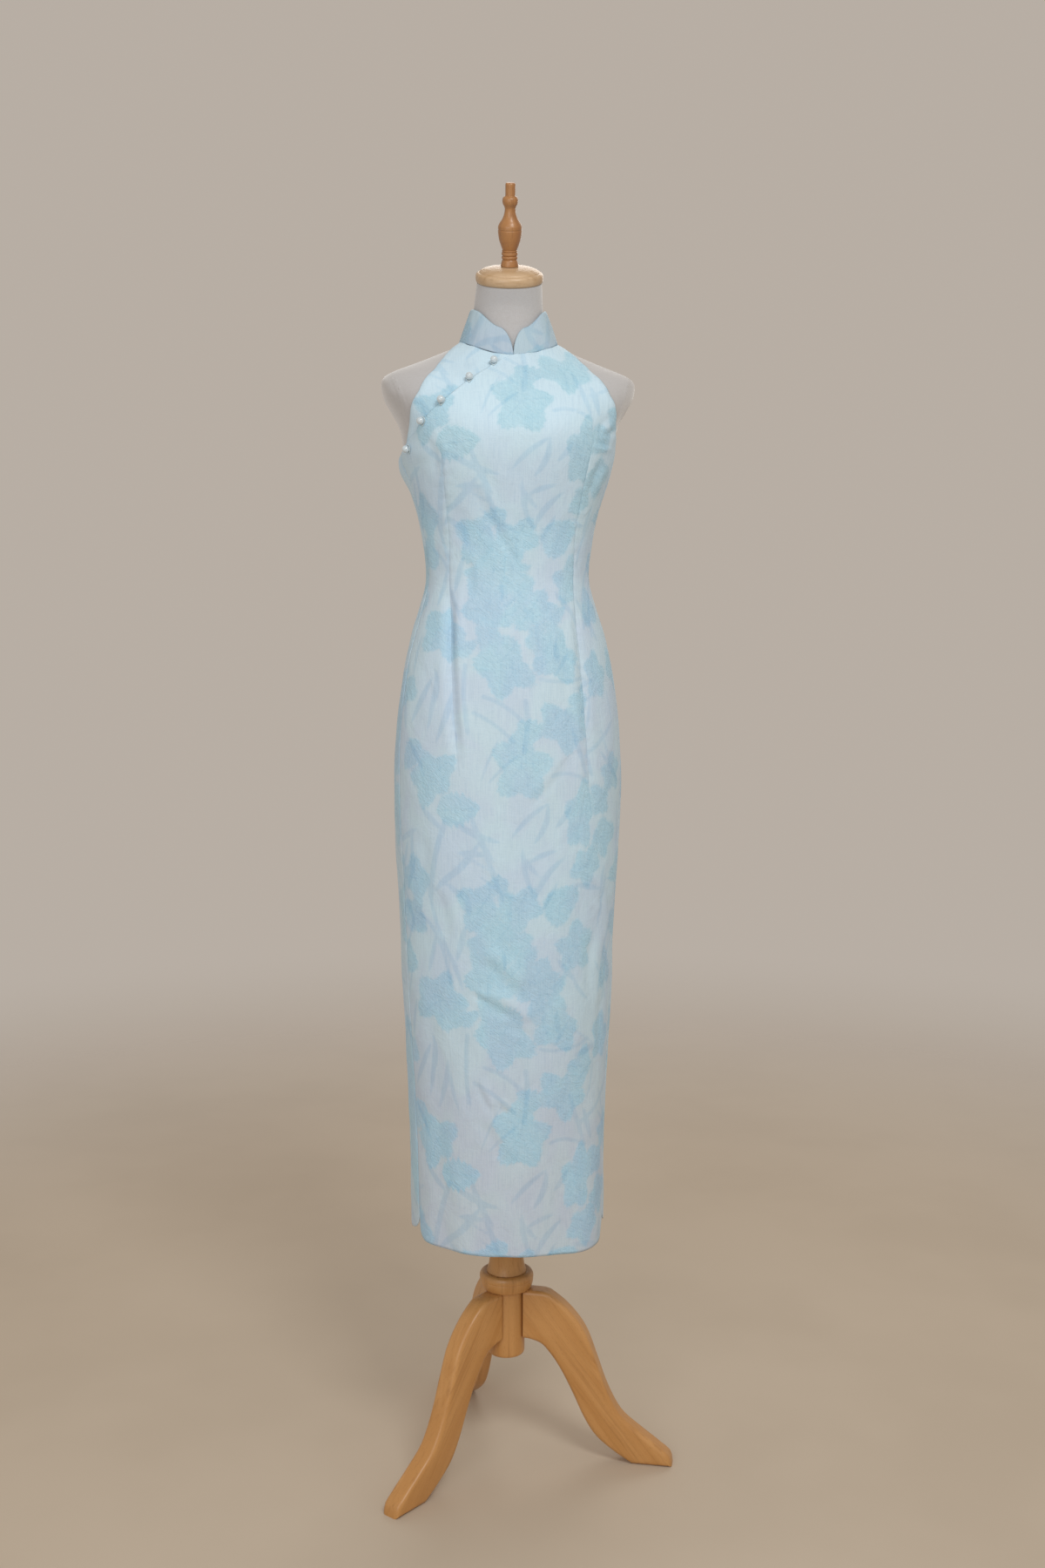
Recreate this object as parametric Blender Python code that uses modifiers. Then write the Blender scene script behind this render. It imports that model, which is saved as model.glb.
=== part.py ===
"""Cheongsam dress on a limbless dress form with a turned wooden tripod stand.

Metres, +Z up, floor at Z = 0.  The dress faces -Y, so the wearer's right is at -X.
The origin is the middle of the footprint.  The pole's axis stands a little beside it, because
one of the three feet points forward.  Turns are angles about the pole, 0 at the front, + to the left
hand of the wearer.
"""

import math

import bmesh
import bpy
from mathutils import Matrix, Vector

# ---------------------------------------------------------------- driving dimensions

GAP = 0.0003                 # between pieces that touch
WALL = 0.0015                # cloth, with its facing and seam allowances

POLE_AXIS = (-0.025, -0.033)     # the pole, from the middle of the footprint

HEM_HEIGHT = 0.345
UNDERARM_HEIGHT = 1.430
SLIT_TOP = 0.600             # side seams are open below this
SLIT_SPREAD = 0.004          # how far a slit's edges part at the hem
HEM_CORNER = 0.020           # radius of the panels' lower corners
NECK_SEAM_FRONT = 1.557
NECK_SEAM_SIDE = 1.580
NECK_SEAM_BACK = 1.590

COLLAR_HEIGHT = 0.0450
COLLAR_END_HEIGHT = 0.0360   # where the rounding of its two front ends starts
COLLAR_END_RADIUS = 0.0220
COLLAR_TOP = {"side": 0.0512, "front": 0.0520, "back": 0.0505}

BUTTON_RADIUS = 0.0050
LOOP_RADIUS = 0.0045
LOOP_CORD_RADIUS = 0.0008

FORM_BOTTOM = 0.940
FORM_EASE = {"shoulder": 0.0011, "body": 0.0025}     # form to cloth
FORM_EASE_HEIGHTS = (1.470, 1.540)
NECK_TOP_RADIUS = 0.0440
NECK_TOP_CENTRE = (-0.0135, 1.6595)                  # Y and Z
NECK_TILT = math.radians(21)
NECK_TILT_TURN = math.radians(-5)                     # towards the wearer's right

POLE_RADIUS = 0.0240
RING_BOTTOM = 0.2470
RING_TOP = 0.2770
HUB_RADIUS = 0.0263
HUB_BOTTOM = 0.1480
LEG_THICKNESS = 0.0290
LEG_EDGE = 0.0055            # rounding of a leg's edges
LEG_TURNS = (103, -17, -137)     # degrees about the pole from +X

# The figure that the cloth goes round, measured on the outside of the cloth.
# Above the underarm the two widest columns follow the form's shoulders.
# height, half width, depth in front, depth behind, fullness (2 is an ellipse)
SECTIONS = (
    (0.345, 0.1375, 0.1290, 0.1240, 2.10),
    (0.450, 0.1380, 0.1290, 0.1245, 2.10),
    (0.560, 0.1417, 0.1300, 0.1255, 2.10),
    (0.680, 0.1470, 0.1310, 0.1265, 2.15),
    (0.800, 0.1512, 0.1310, 0.1285, 2.20),
    (0.900, 0.1565, 0.1300, 0.1310, 2.25),
    (0.984, 0.1587, 0.1270, 0.1300, 2.25),
    (1.060, 0.1550, 0.1200, 0.1270, 2.25),
    (1.130, 0.1460, 0.1115, 0.1160, 2.20),
    (1.184, 0.1340, 0.1030, 0.1010, 2.15),
    (1.220, 0.1230, 0.0960, 0.0890, 2.10),
    (1.265, 0.1120, 0.0890, 0.0790, 2.10),
    (1.310, 0.1160, 0.0930, 0.0800, 2.15),
    (1.355, 0.1255, 0.1050, 0.0850, 2.25),
    (1.400, 0.1395, 0.1190, 0.0905, 2.35),
    (1.430, 0.1465, 0.1265, 0.0940, 2.40),
    (1.452, 0.1485, 0.1285, 0.0960, 2.50),
    (1.470, 0.1535, 0.1245, 0.0977, 2.60),
    (1.490, 0.1655, 0.1150, 0.0985, 2.70),
    (1.508, 0.1740, 0.1045, 0.0972, 2.75),
    (1.523, 0.1762, 0.0940, 0.0935, 2.70),
    (1.532, 0.1735, 0.0860, 0.0900, 2.60),
    (1.539, 0.1640, 0.0795, 0.0865, 2.50),
    (1.548, 0.1420, 0.0710, 0.0820, 2.40),
    (1.557, 0.1190, 0.0640, 0.0765, 2.30),
    (1.568, 0.0930, 0.0565, 0.0700, 2.15),
    (1.580, 0.0668, 0.0515, 0.0620, 2.00),
    (1.590, 0.0575, 0.0490, 0.0560, 2.00),
    (1.600, 0.0530, 0.0478, 0.0520, 2.00),
    (1.612, 0.0505, 0.0480, 0.0490, 2.00),
    (1.625, 0.0497, 0.0497, 0.0478, 2.00),
)

# Side seam: height, turn in degrees
SIDE_SEAM = (
    (0.345, 69.0),
    (0.984, 76.0),
    (1.430, 82.0),
)

# Cut-in armholes from the underarm to the shoulder seam: height, distance from the middle
ARMHOLE_FRONT = (
    (1.437, 0.1440),
    (1.450, 0.1434),
    (1.467, 0.1420),
    (1.490, 0.1375),
    (1.508, 0.1265),
    (1.533, 0.1060),
    (1.557, 0.0855),
    (1.569, 0.0805),
    (1.5765, 0.0760),
)
ARMHOLE_BACK = (
    (1.437, 0.1450),
    (1.450, 0.1452),
    (1.467, 0.1442),
    (1.490, 0.1400),
    (1.508, 0.1310),
    (1.533, 0.1130),
    (1.557, 0.0930),
    (1.569, 0.0838),
    (1.5765, 0.0760),
)

# Slanted edge of the front, from the wearer's right underarm to the collar's middle
SLANT = (
    (1.4460, -0.1365),
    (1.4665, -0.1225),
    (1.4905, -0.0985),
    (1.5205, -0.0618),
    (1.5445, -0.0275),
)
# Hidden edge of the shoulder piece below it
UNDERLAP = (
    (1.430, -0.1215),
    (1.452, -0.1080),
    (1.479, -0.0810),
    (1.507, -0.0480),
    (1.531, -0.0150),
    (1.552, 0.0120),
)
LAP_LIFT = WALL + 0.0014     # the front over the shoulder piece
LAP_MARGIN = 0.018           # still lifted this far past the hidden edge
LAP_FALL = 0.020             # and down again over this distance

# Buttons on the slanted edge: height, distance from the middle
BUTTONS = (
    (1.5445, -0.0275),
    (1.5205, -0.0618),
    (1.4905, -0.0985),
    (1.4665, -0.1215),
    (1.4335, -0.1370),
)

# How far the front's hem hangs below the back's: turn, drop
HEM_DROP = (
    (-69, 0.0000),
    (-20, 0.0035),
    (20, 0.0060),
    (50, 0.0100),
    (69, 0.0080),
)
HEM_DROP_TOP = 0.700

# Largest creases of the front: from and to as (distance from the middle, height),
# half width of the trough, depth (minus stands out)
CREASES = (
    ((-0.065, 1.400), (0.000, 1.296), 0.014, -0.0030),
    ((-0.090, 0.745), (0.030, 0.640), 0.018, -0.0035),
    ((-0.060, 0.750), (0.020, 0.680), 0.016, 0.0030),
    ((-0.075, 0.570), (0.010, 0.430), 0.018, -0.0030),
)

# Soft folds that run down to the hem: turn, half width (degrees), top height, depth at the hem
FOLDS = (
    (-46, 13, 0.90, 0.0030),
    (-8, 12, 0.62, 0.0022),
    (50, 26, 0.62, -0.0090),
    (124, 15, 0.95, 0.0045),
    (163, 13, 0.80, 0.0030),
    (-158, 14, 0.90, 0.0038),
    (-117, 14, 0.85, 0.0040),
)

# Cloth that stands off the form: turn, height, half width (degrees), half height, how far
PUFFS = (
    (-93, 1.412, 16, 0.034, 0.0060),
    (95, 1.405, 14, 0.030, 0.0025),
)

# Turned profiles: radius, height
POLE_PROFILE = (
    (0.0000, FORM_BOTTOM - GAP),
    (POLE_RADIUS, FORM_BOTTOM - GAP),
    (POLE_RADIUS, 0.3150),
    (0.0248, 0.2900),
    (0.0262, RING_TOP + GAP),
    (0.0000, RING_TOP + GAP),
)
RING_TUBE = {"radius": 0.0295, "thickness": 0.0095, "height": 0.2640}
DISC_RADIUS = 0.0357
HUB_PROFILE = (
    (0.0000, RING_BOTTOM - GAP),
    (HUB_RADIUS, RING_BOTTOM - GAP),
    (HUB_RADIUS, HUB_BOTTOM + 0.0040),
    (HUB_RADIUS - 0.0012, HUB_BOTTOM + 0.0012),
    (HUB_RADIUS - 0.0040, HUB_BOTTOM),
    (0.0000, HUB_BOTTOM),
)
# Cap and finial are measured from the middle of the neck's top, along its tilt
CAP_PROFILE = (
    (0.0000, 0.0240),
    (0.0130, 0.0236),
    (0.0230, 0.0222),
    (0.0320, 0.0198),
    (0.0380, 0.0168),
    (0.0400, 0.0152),
    (0.0405, 0.0140),
    (0.0432, 0.0134),
    (0.0452, 0.0112),
    (0.0459, 0.0070),
    (0.0452, 0.0026),
    (0.0435, GAP),
    (0.0000, GAP),
)
FINIAL_FOOT = 0.0240 + GAP
FINIAL_PROFILE = (
    (0.0000, 0.1035),
    (0.0052, 0.1028),
    (0.0065, 0.1010),
    (0.0065, 0.0925),
    (0.0072, 0.0905),
    (0.0098, 0.0868),
    (0.0102, 0.0840),
    (0.0092, 0.0800),
    (0.0076, 0.0760),
    (0.0075, 0.0715),
    (0.0100, 0.0650),
    (0.0145, 0.0570),
    (0.0161, 0.0510),
    (0.0158, 0.0470),
    (0.0139, 0.0330),
    (0.0110, 0.0250),
    (0.0094, 0.0215),
    (0.0106, 0.0195),
    (0.0107, 0.0115),
    (0.0096, 0.0095),
    (0.0098, 0.0075),
    (0.0121, 0.0040),
    (0.0121, 0.0000),
    (0.0000, 0.0000),
)

# A leg seen from the side: distance from the pole, height
LEG_TOP_EDGE = (
    (0.0150, 0.2467),
    (0.0560, 0.2460),
    (0.0760, 0.2355),
    (0.1000, 0.2136),
    (0.1175, 0.1880),
    (0.1320, 0.1500),
    (0.1470, 0.1090),
    (0.1680, 0.0710),
    (0.1970, 0.0470),
    (0.2230, 0.0280),
    (0.2410, 0.0120),
    (0.2430, 0.0000),
)
LEG_UNDER_EDGE = (
    (0.1850, 0.0000),
    (0.1590, 0.0160),
    (0.1320, 0.0380),
    (0.1150, 0.0640),
    (0.1000, 0.0960),
    (0.0820, 0.1310),
    (0.0650, 0.1560),
    (0.0500, 0.1700),
    (0.0270, 0.1750),
    (0.0150, 0.1750),
)
LEG_EDGE_STEPS = 14

TURNED_SIDES = 24
CLOTH_COLUMNS = {"front": 22, "back": 20, "yoke": 14, "collar": 36}
BODY_ROWS = 30
UPPER_ROWS = 14
YOKE_ROWS = 18
COLLAR_ROWS = 3
FORM_SIDES = 32
FORM_RING_STEP = 0.018       # most that a form ring may grow before it gets one between


# ---------------------------------------------------------------- curves and the figure

def smooth_through(keys, values):
    """A curve through the values that doesn't overshoot between them."""
    steps = [b - a for a, b in zip(keys, keys[1:])]
    rises = [(b - a) / s for a, b, s in zip(values, values[1:], steps)]
    slopes = [rises[0]]
    for before, after in zip(rises, rises[1:]):
        slopes.append(2 * before * after / (before + after) if before * after > 0 else 0.0)
    slopes.append(rises[-1])

    def curve(key):
        key = min(max(key, keys[0]), keys[-1])
        index = max(i for i in range(len(steps)) if keys[i] <= key)
        s = (key - keys[index]) / steps[index]
        return ((1 + 2 * s) * (1 - s) ** 2 * values[index]
                + s * (1 - s) ** 2 * steps[index] * slopes[index]
                + s * s * (3 - 2 * s) * values[index + 1]
                + s * s * (s - 1) * steps[index] * slopes[index + 1])

    return curve


def smooth_step(value):
    value = min(max(value, 0.0), 1.0)
    return value * value * (3 - 2 * value)


def blend(a, b, share):
    return a + (b - a) * share


def path_through(points, places=None):
    """A smooth path through points, run through from 0 to 1 by the length between places."""
    lengths = [0.0]
    places = places or points
    for a, b in zip(places, places[1:]):
        lengths.append(lengths[-1] + math.dist(a, b))
    shares = [length / lengths[-1] for length in lengths]
    curves = [smooth_through(shares, column) for column in zip(*points)]
    return lambda share: tuple(curve(share) for curve in curves)


HEIGHTS = [row[0] for row in SECTIONS]
HALF_WIDTH, FRONT_DEPTH, BACK_DEPTH, FULLNESS = (
    smooth_through(HEIGHTS, [row[column] for row in SECTIONS]) for column in range(1, 5))
SEAM_TURN = smooth_through([row[0] for row in SIDE_SEAM],
                           [math.radians(row[1]) for row in SIDE_SEAM])


HEM_FALL = smooth_through([math.radians(row[0]) for row in HEM_DROP],
                          [row[1] for row in HEM_DROP])


def on_figure(turn, height):
    """The point of the figure's skin at a turn about the pole."""
    across, along = math.sin(turn), math.cos(turn)
    depth = FRONT_DEPTH(height) if along > 0 else BACK_DEPTH(height)
    power = FULLNESS(height)
    radius = ((abs(across) / HALF_WIDTH(height)) ** power
              + (abs(along) / depth) ** power) ** (-1 / power)
    return Vector((radius * across, -radius * along, height))


def turn_at(height, across, behind=False):
    """The turn at which the skin lies a distance to the side of the middle."""
    half, power = HALF_WIDTH(height), FULLNESS(height)
    depth = BACK_DEPTH(height) if behind else FRONT_DEPTH(height)
    share = min(abs(across) / half, 1.0)
    along = depth * (1 - share ** power) ** (1 / power)
    turn = math.atan2(share * half, -along if behind else along)
    return math.copysign(turn, across)


def skin_normal(turn, height):
    step = 0.002
    side = on_figure(turn + step, height) - on_figure(turn - step, height)
    up = on_figure(turn, height + step) - on_figure(turn, height - step)
    return side.cross(up).normalized()


def crease_depth(turn, height):
    """How far the cloth lies inside the figure's skin."""
    place = on_figure(turn, height)
    depth = 0.0
    if place.y < 0:
        for start, end, half_width, trough in CREASES:
            run = Vector(end) - Vector(start)
            point = Vector((place.x, height)) - Vector(start)
            share = point.dot(run) / run.length_squared
            off = (point - run * share).length
            ends = smooth_step(4 * share) * smooth_step(4 * (1 - share))
            depth += trough * ends * smooth_step(1 - off / half_width)
    for middle, half_width, top, trough in FOLDS:
        off = abs(math.remainder(turn - math.radians(middle), math.tau)) / math.radians(half_width)
        fade = smooth_step((top - height) / (top - HEM_HEIGHT))
        depth += trough * fade * smooth_step(1 - off)
    for middle, level, half_width, half_height, out in PUFFS:
        off = math.hypot(math.remainder(turn - math.radians(middle), math.tau)
                         / math.radians(half_width), (height - level) / half_height)
        depth -= out * smooth_step(1 - off)
    return depth


def on_cloth(turn, height, out=0.0):
    """A point moved straight out from the outside of the cloth."""
    lift = out - crease_depth(turn, height)
    return on_figure(turn, height) + skin_normal(turn, height) * lift


def neck_seam_height(turn):
    along = math.cos(turn)
    end = NECK_SEAM_FRONT if along > 0 else NECK_SEAM_BACK
    return blend(NECK_SEAM_SIDE, end, along * along)


# ---------------------------------------------------------------- materials and objects

def material(name, colour, roughness, metallic=0.0):
    made = bpy.data.materials.new(name)
    made.use_nodes = True
    shader = made.node_tree.nodes["Principled BSDF"]
    shader.inputs["Base Color"].default_value = (*colour, 1.0)
    shader.inputs["Roughness"].default_value = roughness
    shader.inputs["Metallic"].default_value = metallic
    return made


def keep(name, mesh, coat, group, stand):
    """Put a finished mesh in the part's collection, on the stand's axis."""
    mesh.materials.append(coat)
    thing = bpy.data.objects.new(name, mesh)
    group.objects.link(thing)
    thing.parent = stand
    mesh.shade_smooth()
    mesh.set_sharp_from_angle(angle=math.radians(40))
    return thing


def grid_mesh(name, columns, rows, place):
    """A sheet of columns by rows, each point put in its place."""
    bm = bmesh.new()
    bmesh.ops.create_grid(bm, x_segments=columns, y_segments=rows, size=1.0)
    for vert in bm.verts:
        vert.co = place((vert.co.x + 1) / 2, (vert.co.y + 1) / 2)
    mesh = bpy.data.meshes.new(name)
    bm.to_mesh(mesh)
    bm.free()
    return mesh


def thicken(thing):
    """Cloth thickness, laid on outward from the modelled inner face."""
    wall = thing.modifiers.new("Cloth", "SOLIDIFY")
    wall.thickness = WALL
    wall.offset = 1.0


def turned(name, profile, coat, group, stand):
    """A turned piece: its profile runs down the outside, from axis to axis."""
    bm = bmesh.new()
    verts = [bm.verts.new((radius, 0.0, height)) for radius, height in profile]
    for a, b in zip(verts, verts[1:]):
        bm.edges.new((a, b))
    mesh = bpy.data.meshes.new(name)
    bm.to_mesh(mesh)
    bm.free()
    thing = keep(name, mesh, coat, group, stand)
    screw = thing.modifiers.new("Turn", "SCREW")
    screw.steps = TURNED_SIDES
    screw.render_steps = TURNED_SIDES
    screw.use_merge_vertices = True
    screw.merge_threshold = 0.00005
    screw.use_smooth_shade = True
    return thing


# ---------------------------------------------------------------- dress

def patch(bottom, top, left, right):
    """A sheet of (turn, height) points between four edges that meet at their corners."""
    def place(u, v):
        edges = zip(bottom(u), top(u), left(v), right(v))
        corners = zip(bottom(0), bottom(1), top(0), top(1))
        return tuple(blend(b, t, v) + blend(l, r, u) - blend(blend(b0, b1, u), blend(t0, t1, u), v)
                     for (b, t, l, r), (b0, b1, t0, t1) in zip(edges, corners))
    return place


def edge_path(table, first, last, behind=False, side=1):
    """A cut edge from a table of heights and distances, between two (turn, height) ends."""
    points = [(turn_at(height, side * across, behind), height) for height, across in table]
    points = [first] + points + [last]
    return path_through(points, [on_figure(*point) for point in points])


def neck_edge(first, last):
    def place(u):
        turn = blend(first, last, u)
        return (turn, neck_seam_height(turn))
    return place


def level_edge(first, last):
    return lambda u: (blend(first, last, u), UNDERARM_HEIGHT)


def seam_inset(height):
    """Half the gap between front and back at a side seam, as a turn."""
    open_share = max(0.0, (SLIT_TOP - height) / (SLIT_TOP - HEM_HEIGHT))
    return (GAP / 2 + SLIT_SPREAD / 2 * open_share ** 2) / HALF_WIDTH(height)


def spread(u):
    """Columns closer together near both edges of a panel."""
    s = 2 * u - 1
    return (1 + s * (1.25 - 0.25 * s * s)) / 2


def body_height(v, from_edge):
    """Height of a body row; the lowest rows turn up round the corners beside the slits."""
    height = blend(HEM_HEIGHT, UNDERARM_HEIGHT, v)
    inside = min(from_edge / HEM_CORNER, 1.0)
    corner = HEM_CORNER * (1 - math.sqrt(1 - (1 - inside) ** 2))
    return height + corner * max(0.0, 1 - (height - HEM_HEIGHT) / 0.06)


def panel(middle, upper, trim_first, trim_last):
    """A full-length panel: rows round the body, then a cut shape up to the neck seam."""
    body_share = BODY_ROWS / (BODY_ROWS + UPPER_ROWS)

    def place(u, v):
        if v <= body_share:
            share = v / body_share
            level = blend(HEM_HEIGHT, UNDERARM_HEIGHT, share)
            half_turn = SEAM_TURN(level) if middle == 0 else math.pi - SEAM_TURN(level)
            half_turn -= seam_inset(level)
            s = 2 * spread(u) - 1
            height = body_height(share, (1 - abs(s)) * half_turn * HALF_WIDTH(level))
            return (middle + s * half_turn, height)
        share = (v - body_share) / (1 - body_share)
        turn, height = upper(spread(u), share)
        return (blend(turn + trim_first, turn + trim_last, u), height)

    return place


def lap_lift(place):
    """Lift of the front where it lies on the shoulder piece."""
    edge = [Vector((across, height)) for height, across in UNDERLAP]
    point = Vector((place.x, place.z))
    best = None
    for a, b in zip(edge, edge[1:]):
        run = b - a
        share = min(max((point - a).dot(run) / run.length_squared, 0.0), 1.0)
        off = point - (a + run * share)
        side = run.x * off.y - run.y * off.x
        if best is None or off.length < abs(best):
            best = math.copysign(off.length, side)
    return LAP_LIFT * smooth_step(1 + (best + LAP_MARGIN) / LAP_FALL)


def front_piece(cloth, group, stand):
    seam = SEAM_TURN(UNDERARM_HEIGHT) - seam_inset(UNDERARM_HEIGHT)
    neck = math.radians(90)
    upper = patch(
        level_edge(-seam, seam), neck_edge(0.0, neck),
        edge_path(SLANT, (-seam, UNDERARM_HEIGHT), (0.0, NECK_SEAM_FRONT)),
        edge_path(ARMHOLE_FRONT, (seam, UNDERARM_HEIGHT), (neck, NECK_SEAM_SIDE)))
    where = panel(0.0, upper, 0.0, -GAP / 0.13)

    def place(u, v):
        turn, height = where(u, v)
        fall = smooth_step((HEM_DROP_TOP - height) / (HEM_DROP_TOP - HEM_HEIGHT))
        height -= HEM_FALL(turn) * fall
        lift = lap_lift(on_figure(turn, height)) if height > UNDERARM_HEIGHT - 0.03 else 0.0
        return on_cloth(turn, height, lift - WALL)

    mesh = grid_mesh("front", CLOTH_COLUMNS["front"], BODY_ROWS + UPPER_ROWS, place)
    thicken(keep("front", mesh, cloth, group, stand))


def yoke_piece(cloth, group, stand):
    seam = SEAM_TURN(UNDERARM_HEIGHT) - seam_inset(UNDERARM_HEIGHT)
    neck = math.radians(90)
    low_height, low_across = UNDERLAP[0]
    high_height, high_across = UNDERLAP[-1]
    low = (turn_at(low_height, low_across), UNDERARM_HEIGHT + GAP)
    high_turn = turn_at(high_height, high_across)
    upper = patch(
        lambda u: (blend(-seam, low[0], u), low[1]), neck_edge(-neck, high_turn),
        edge_path(ARMHOLE_FRONT, (-seam, low[1]), (-neck, NECK_SEAM_SIDE), side=-1),
        edge_path(UNDERLAP[1:-1], low, (high_turn, neck_seam_height(high_turn))))

    def place(u, v):
        turn, height = upper(u, v)
        return on_cloth(turn + GAP / 0.13 * (1 - u), height, -WALL)

    mesh = grid_mesh("front_yoke", CLOTH_COLUMNS["yoke"], YOKE_ROWS, place)
    thicken(keep("front_yoke", mesh, cloth, group, stand))


def back_piece(cloth, group, stand):
    seam = SEAM_TURN(UNDERARM_HEIGHT) + seam_inset(UNDERARM_HEIGHT)
    neck = math.radians(90)
    left = edge_path(ARMHOLE_BACK, (seam, UNDERARM_HEIGHT), (neck, NECK_SEAM_SIDE), behind=True)

    def right(v):
        turn, height = left(v)
        return (math.tau - turn, height)

    upper = patch(level_edge(seam, math.tau - seam), neck_edge(neck, math.tau - neck), left, right)
    where = panel(math.pi, upper, GAP / 0.13, -GAP / 0.13)

    def place(u, v):
        return on_cloth(*where(u, v), -WALL)

    mesh = grid_mesh("back", CLOTH_COLUMNS["back"], BODY_ROWS + UPPER_ROWS, place)
    thicken(keep("back", mesh, cloth, group, stand))


def collar_piece(cloth, group, stand):
    """A leaning band all round the neck, its two rounded ends side by side in front."""
    end_columns = 5
    columns = CLOTH_COLUMNS["collar"]
    end_turn = COLLAR_END_RADIUS / FRONT_DEPTH(NECK_SEAM_FRONT)

    def from_end(turn):
        return min(turn, math.tau - turn) * FRONT_DEPTH(NECK_SEAM_FRONT)

    def turn_of(u):
        """Columns crowd into the rounded ends."""
        column = min(u, 1 - u) * columns
        if column <= end_columns:
            turn = end_turn * (1 - math.cos(column / end_columns * math.pi / 2))
            turn = max(turn, GAP / FRONT_DEPTH(NECK_SEAM_FRONT))
        else:
            turn = blend(end_turn, math.pi, (column - end_columns) / (columns / 2 - end_columns))
        return turn if u <= 0.5 else math.tau - turn

    def full_height(turn):
        rise = smooth_step((from_end(turn) - COLLAR_END_RADIUS) / 0.045)
        return blend(COLLAR_END_HEIGHT, COLLAR_HEIGHT, rise)

    def place(u, v):
        turn = turn_of(u)
        base = on_figure(turn, neck_seam_height(turn))
        inward = Vector((base.x, base.y, 0)).normalized() * WALL
        base -= inward
        base.z += GAP
        across, along = math.sin(turn), math.cos(turn)
        depth = COLLAR_TOP["front"] if along > 0 else COLLAR_TOP["back"]
        full = full_height(turn)
        top = Vector(((COLLAR_TOP["side"] - WALL) * across, -(depth - WALL) * along,
                      base.z + full))
        into = min(from_end(turn) / COLLAR_END_RADIUS, 1.0)
        return base.lerp(top, v * math.sqrt(1 - (1 - into) ** 2))

    mesh = grid_mesh("collar", columns, COLLAR_ROWS, place)
    thicken(keep("collar", mesh, cloth, group, stand))


def button_pieces(pearl, cord, group, stand):
    """Pearls along the slanted edge, each over the cord loop that holds it."""
    for number, (height, across) in enumerate(BUTTONS, 1):
        turn = turn_at(height, across)
        normal = skin_normal(turn, height)
        facing = normal.to_track_quat("Z", "Y").to_matrix().to_4x4()
        seat = LAP_LIFT + GAP

        bm = bmesh.new()
        bmesh.ops.create_uvsphere(bm, u_segments=10, v_segments=7, radius=BUTTON_RADIUS)
        mesh = bpy.data.meshes.new(f"button_{number}")
        bm.to_mesh(mesh)
        bm.free()
        ball = keep(f"button_{number}", mesh, pearl, group, stand)
        ball.matrix_local = Matrix.Translation(
            on_cloth(turn, height, seat + BUTTON_RADIUS)) @ facing

        ring = bpy.data.meshes.new(f"button_loop_{number}")
        bm = bmesh.new()
        bmesh.ops.create_circle(
            bm, segments=5, radius=LOOP_CORD_RADIUS,
            matrix=Matrix.Translation((LOOP_RADIUS, 0, 0)) @ Matrix.Rotation(math.pi / 2, 4, "X"))
        bmesh.ops.spin(bm, geom=bm.edges[:], axis=(0, 0, 1), cent=(0, 0, 0), steps=12,
                       angle=math.tau, use_merge=True)
        bmesh.ops.recalc_face_normals(bm, faces=bm.faces[:])
        bm.to_mesh(ring)
        bm.free()
        loop = keep(f"button_loop_{number}", ring, cord, group, stand)
        loop.matrix_local = Matrix.Translation(
            on_cloth(turn, height, seat + LOOP_CORD_RADIUS)) @ facing


# ---------------------------------------------------------------- form and stand

def form_torso(cover, group, stand):
    """One closed body from the hips to the neck, a little inside the cloth."""
    rings = [FORM_BOTTOM, FORM_BOTTOM + 0.008]
    for below, height in zip(HEIGHTS, HEIGHTS[1:]):
        if height > FORM_BOTTOM + 0.02:
            if abs(HALF_WIDTH(height) - HALF_WIDTH(below)) > FORM_RING_STEP:
                rings.append((below + height) / 2)
            rings.append(height)
    tilted = 2
    rows = len(rings) + tilted - 1

    def ease(height):
        low, high = FORM_EASE_HEIGHTS
        share = smooth_step((height - low) / (high - low))
        return blend(FORM_EASE["body"], FORM_EASE["shoulder"], share)

    def neck_ring(turn, share):
        tilt = NECK_TILT * share
        y, z = NECK_TOP_CENTRE
        centre = Vector((0, y * share, blend(HEIGHTS[-1] + 0.001, z, share)))
        radius = blend(HALF_WIDTH(HEIGHTS[-1]) - WALL, NECK_TOP_RADIUS, share)
        turn -= NECK_TILT_TURN
        rim = Vector((radius * math.sin(turn), -radius * math.cos(turn), 0))
        lean = Matrix.Rotation(NECK_TILT_TURN, 3, "Z") @ Matrix.Rotation(tilt, 3, "X")
        return centre + lean @ rim

    def place(u, v):
        turn = u * math.tau
        row = round(v * rows)
        if row >= len(rings):
            return neck_ring(turn, (row - len(rings) + 1) / tilted)
        height = rings[row]
        point = on_figure(turn, height) - skin_normal(turn, height) * (WALL + ease(height))
        if row == 0:
            point.x *= 0.95
            point.y *= 0.95
        return point

    mesh = grid_mesh("form_torso", FORM_SIDES, rows, place)
    bm = bmesh.new()
    bm.from_mesh(mesh)
    bmesh.ops.remove_doubles(bm, verts=bm.verts[:], dist=0.00005)
    bmesh.ops.holes_fill(bm, edges=[edge for edge in bm.edges if edge.is_boundary], sides=0)
    bmesh.ops.recalc_face_normals(bm, faces=bm.faces[:])
    bm.to_mesh(mesh)
    bm.free()
    keep("form_torso", mesh, cover, group, stand)


def neck_top(pale_wood, brown_wood, group, stand):
    tilt = (Matrix.Translation((0, *NECK_TOP_CENTRE))
            @ Matrix.Rotation(NECK_TILT_TURN, 4, "Z") @ Matrix.Rotation(NECK_TILT, 4, "X"))
    cap = turned("neck_cap", CAP_PROFILE, pale_wood, group, stand)
    cap.matrix_local = tilt
    finial = turned("finial", FINIAL_PROFILE, brown_wood, group, stand)
    finial.matrix_local = tilt @ Matrix.Translation((0, 0, FINIAL_FOOT))


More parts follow.
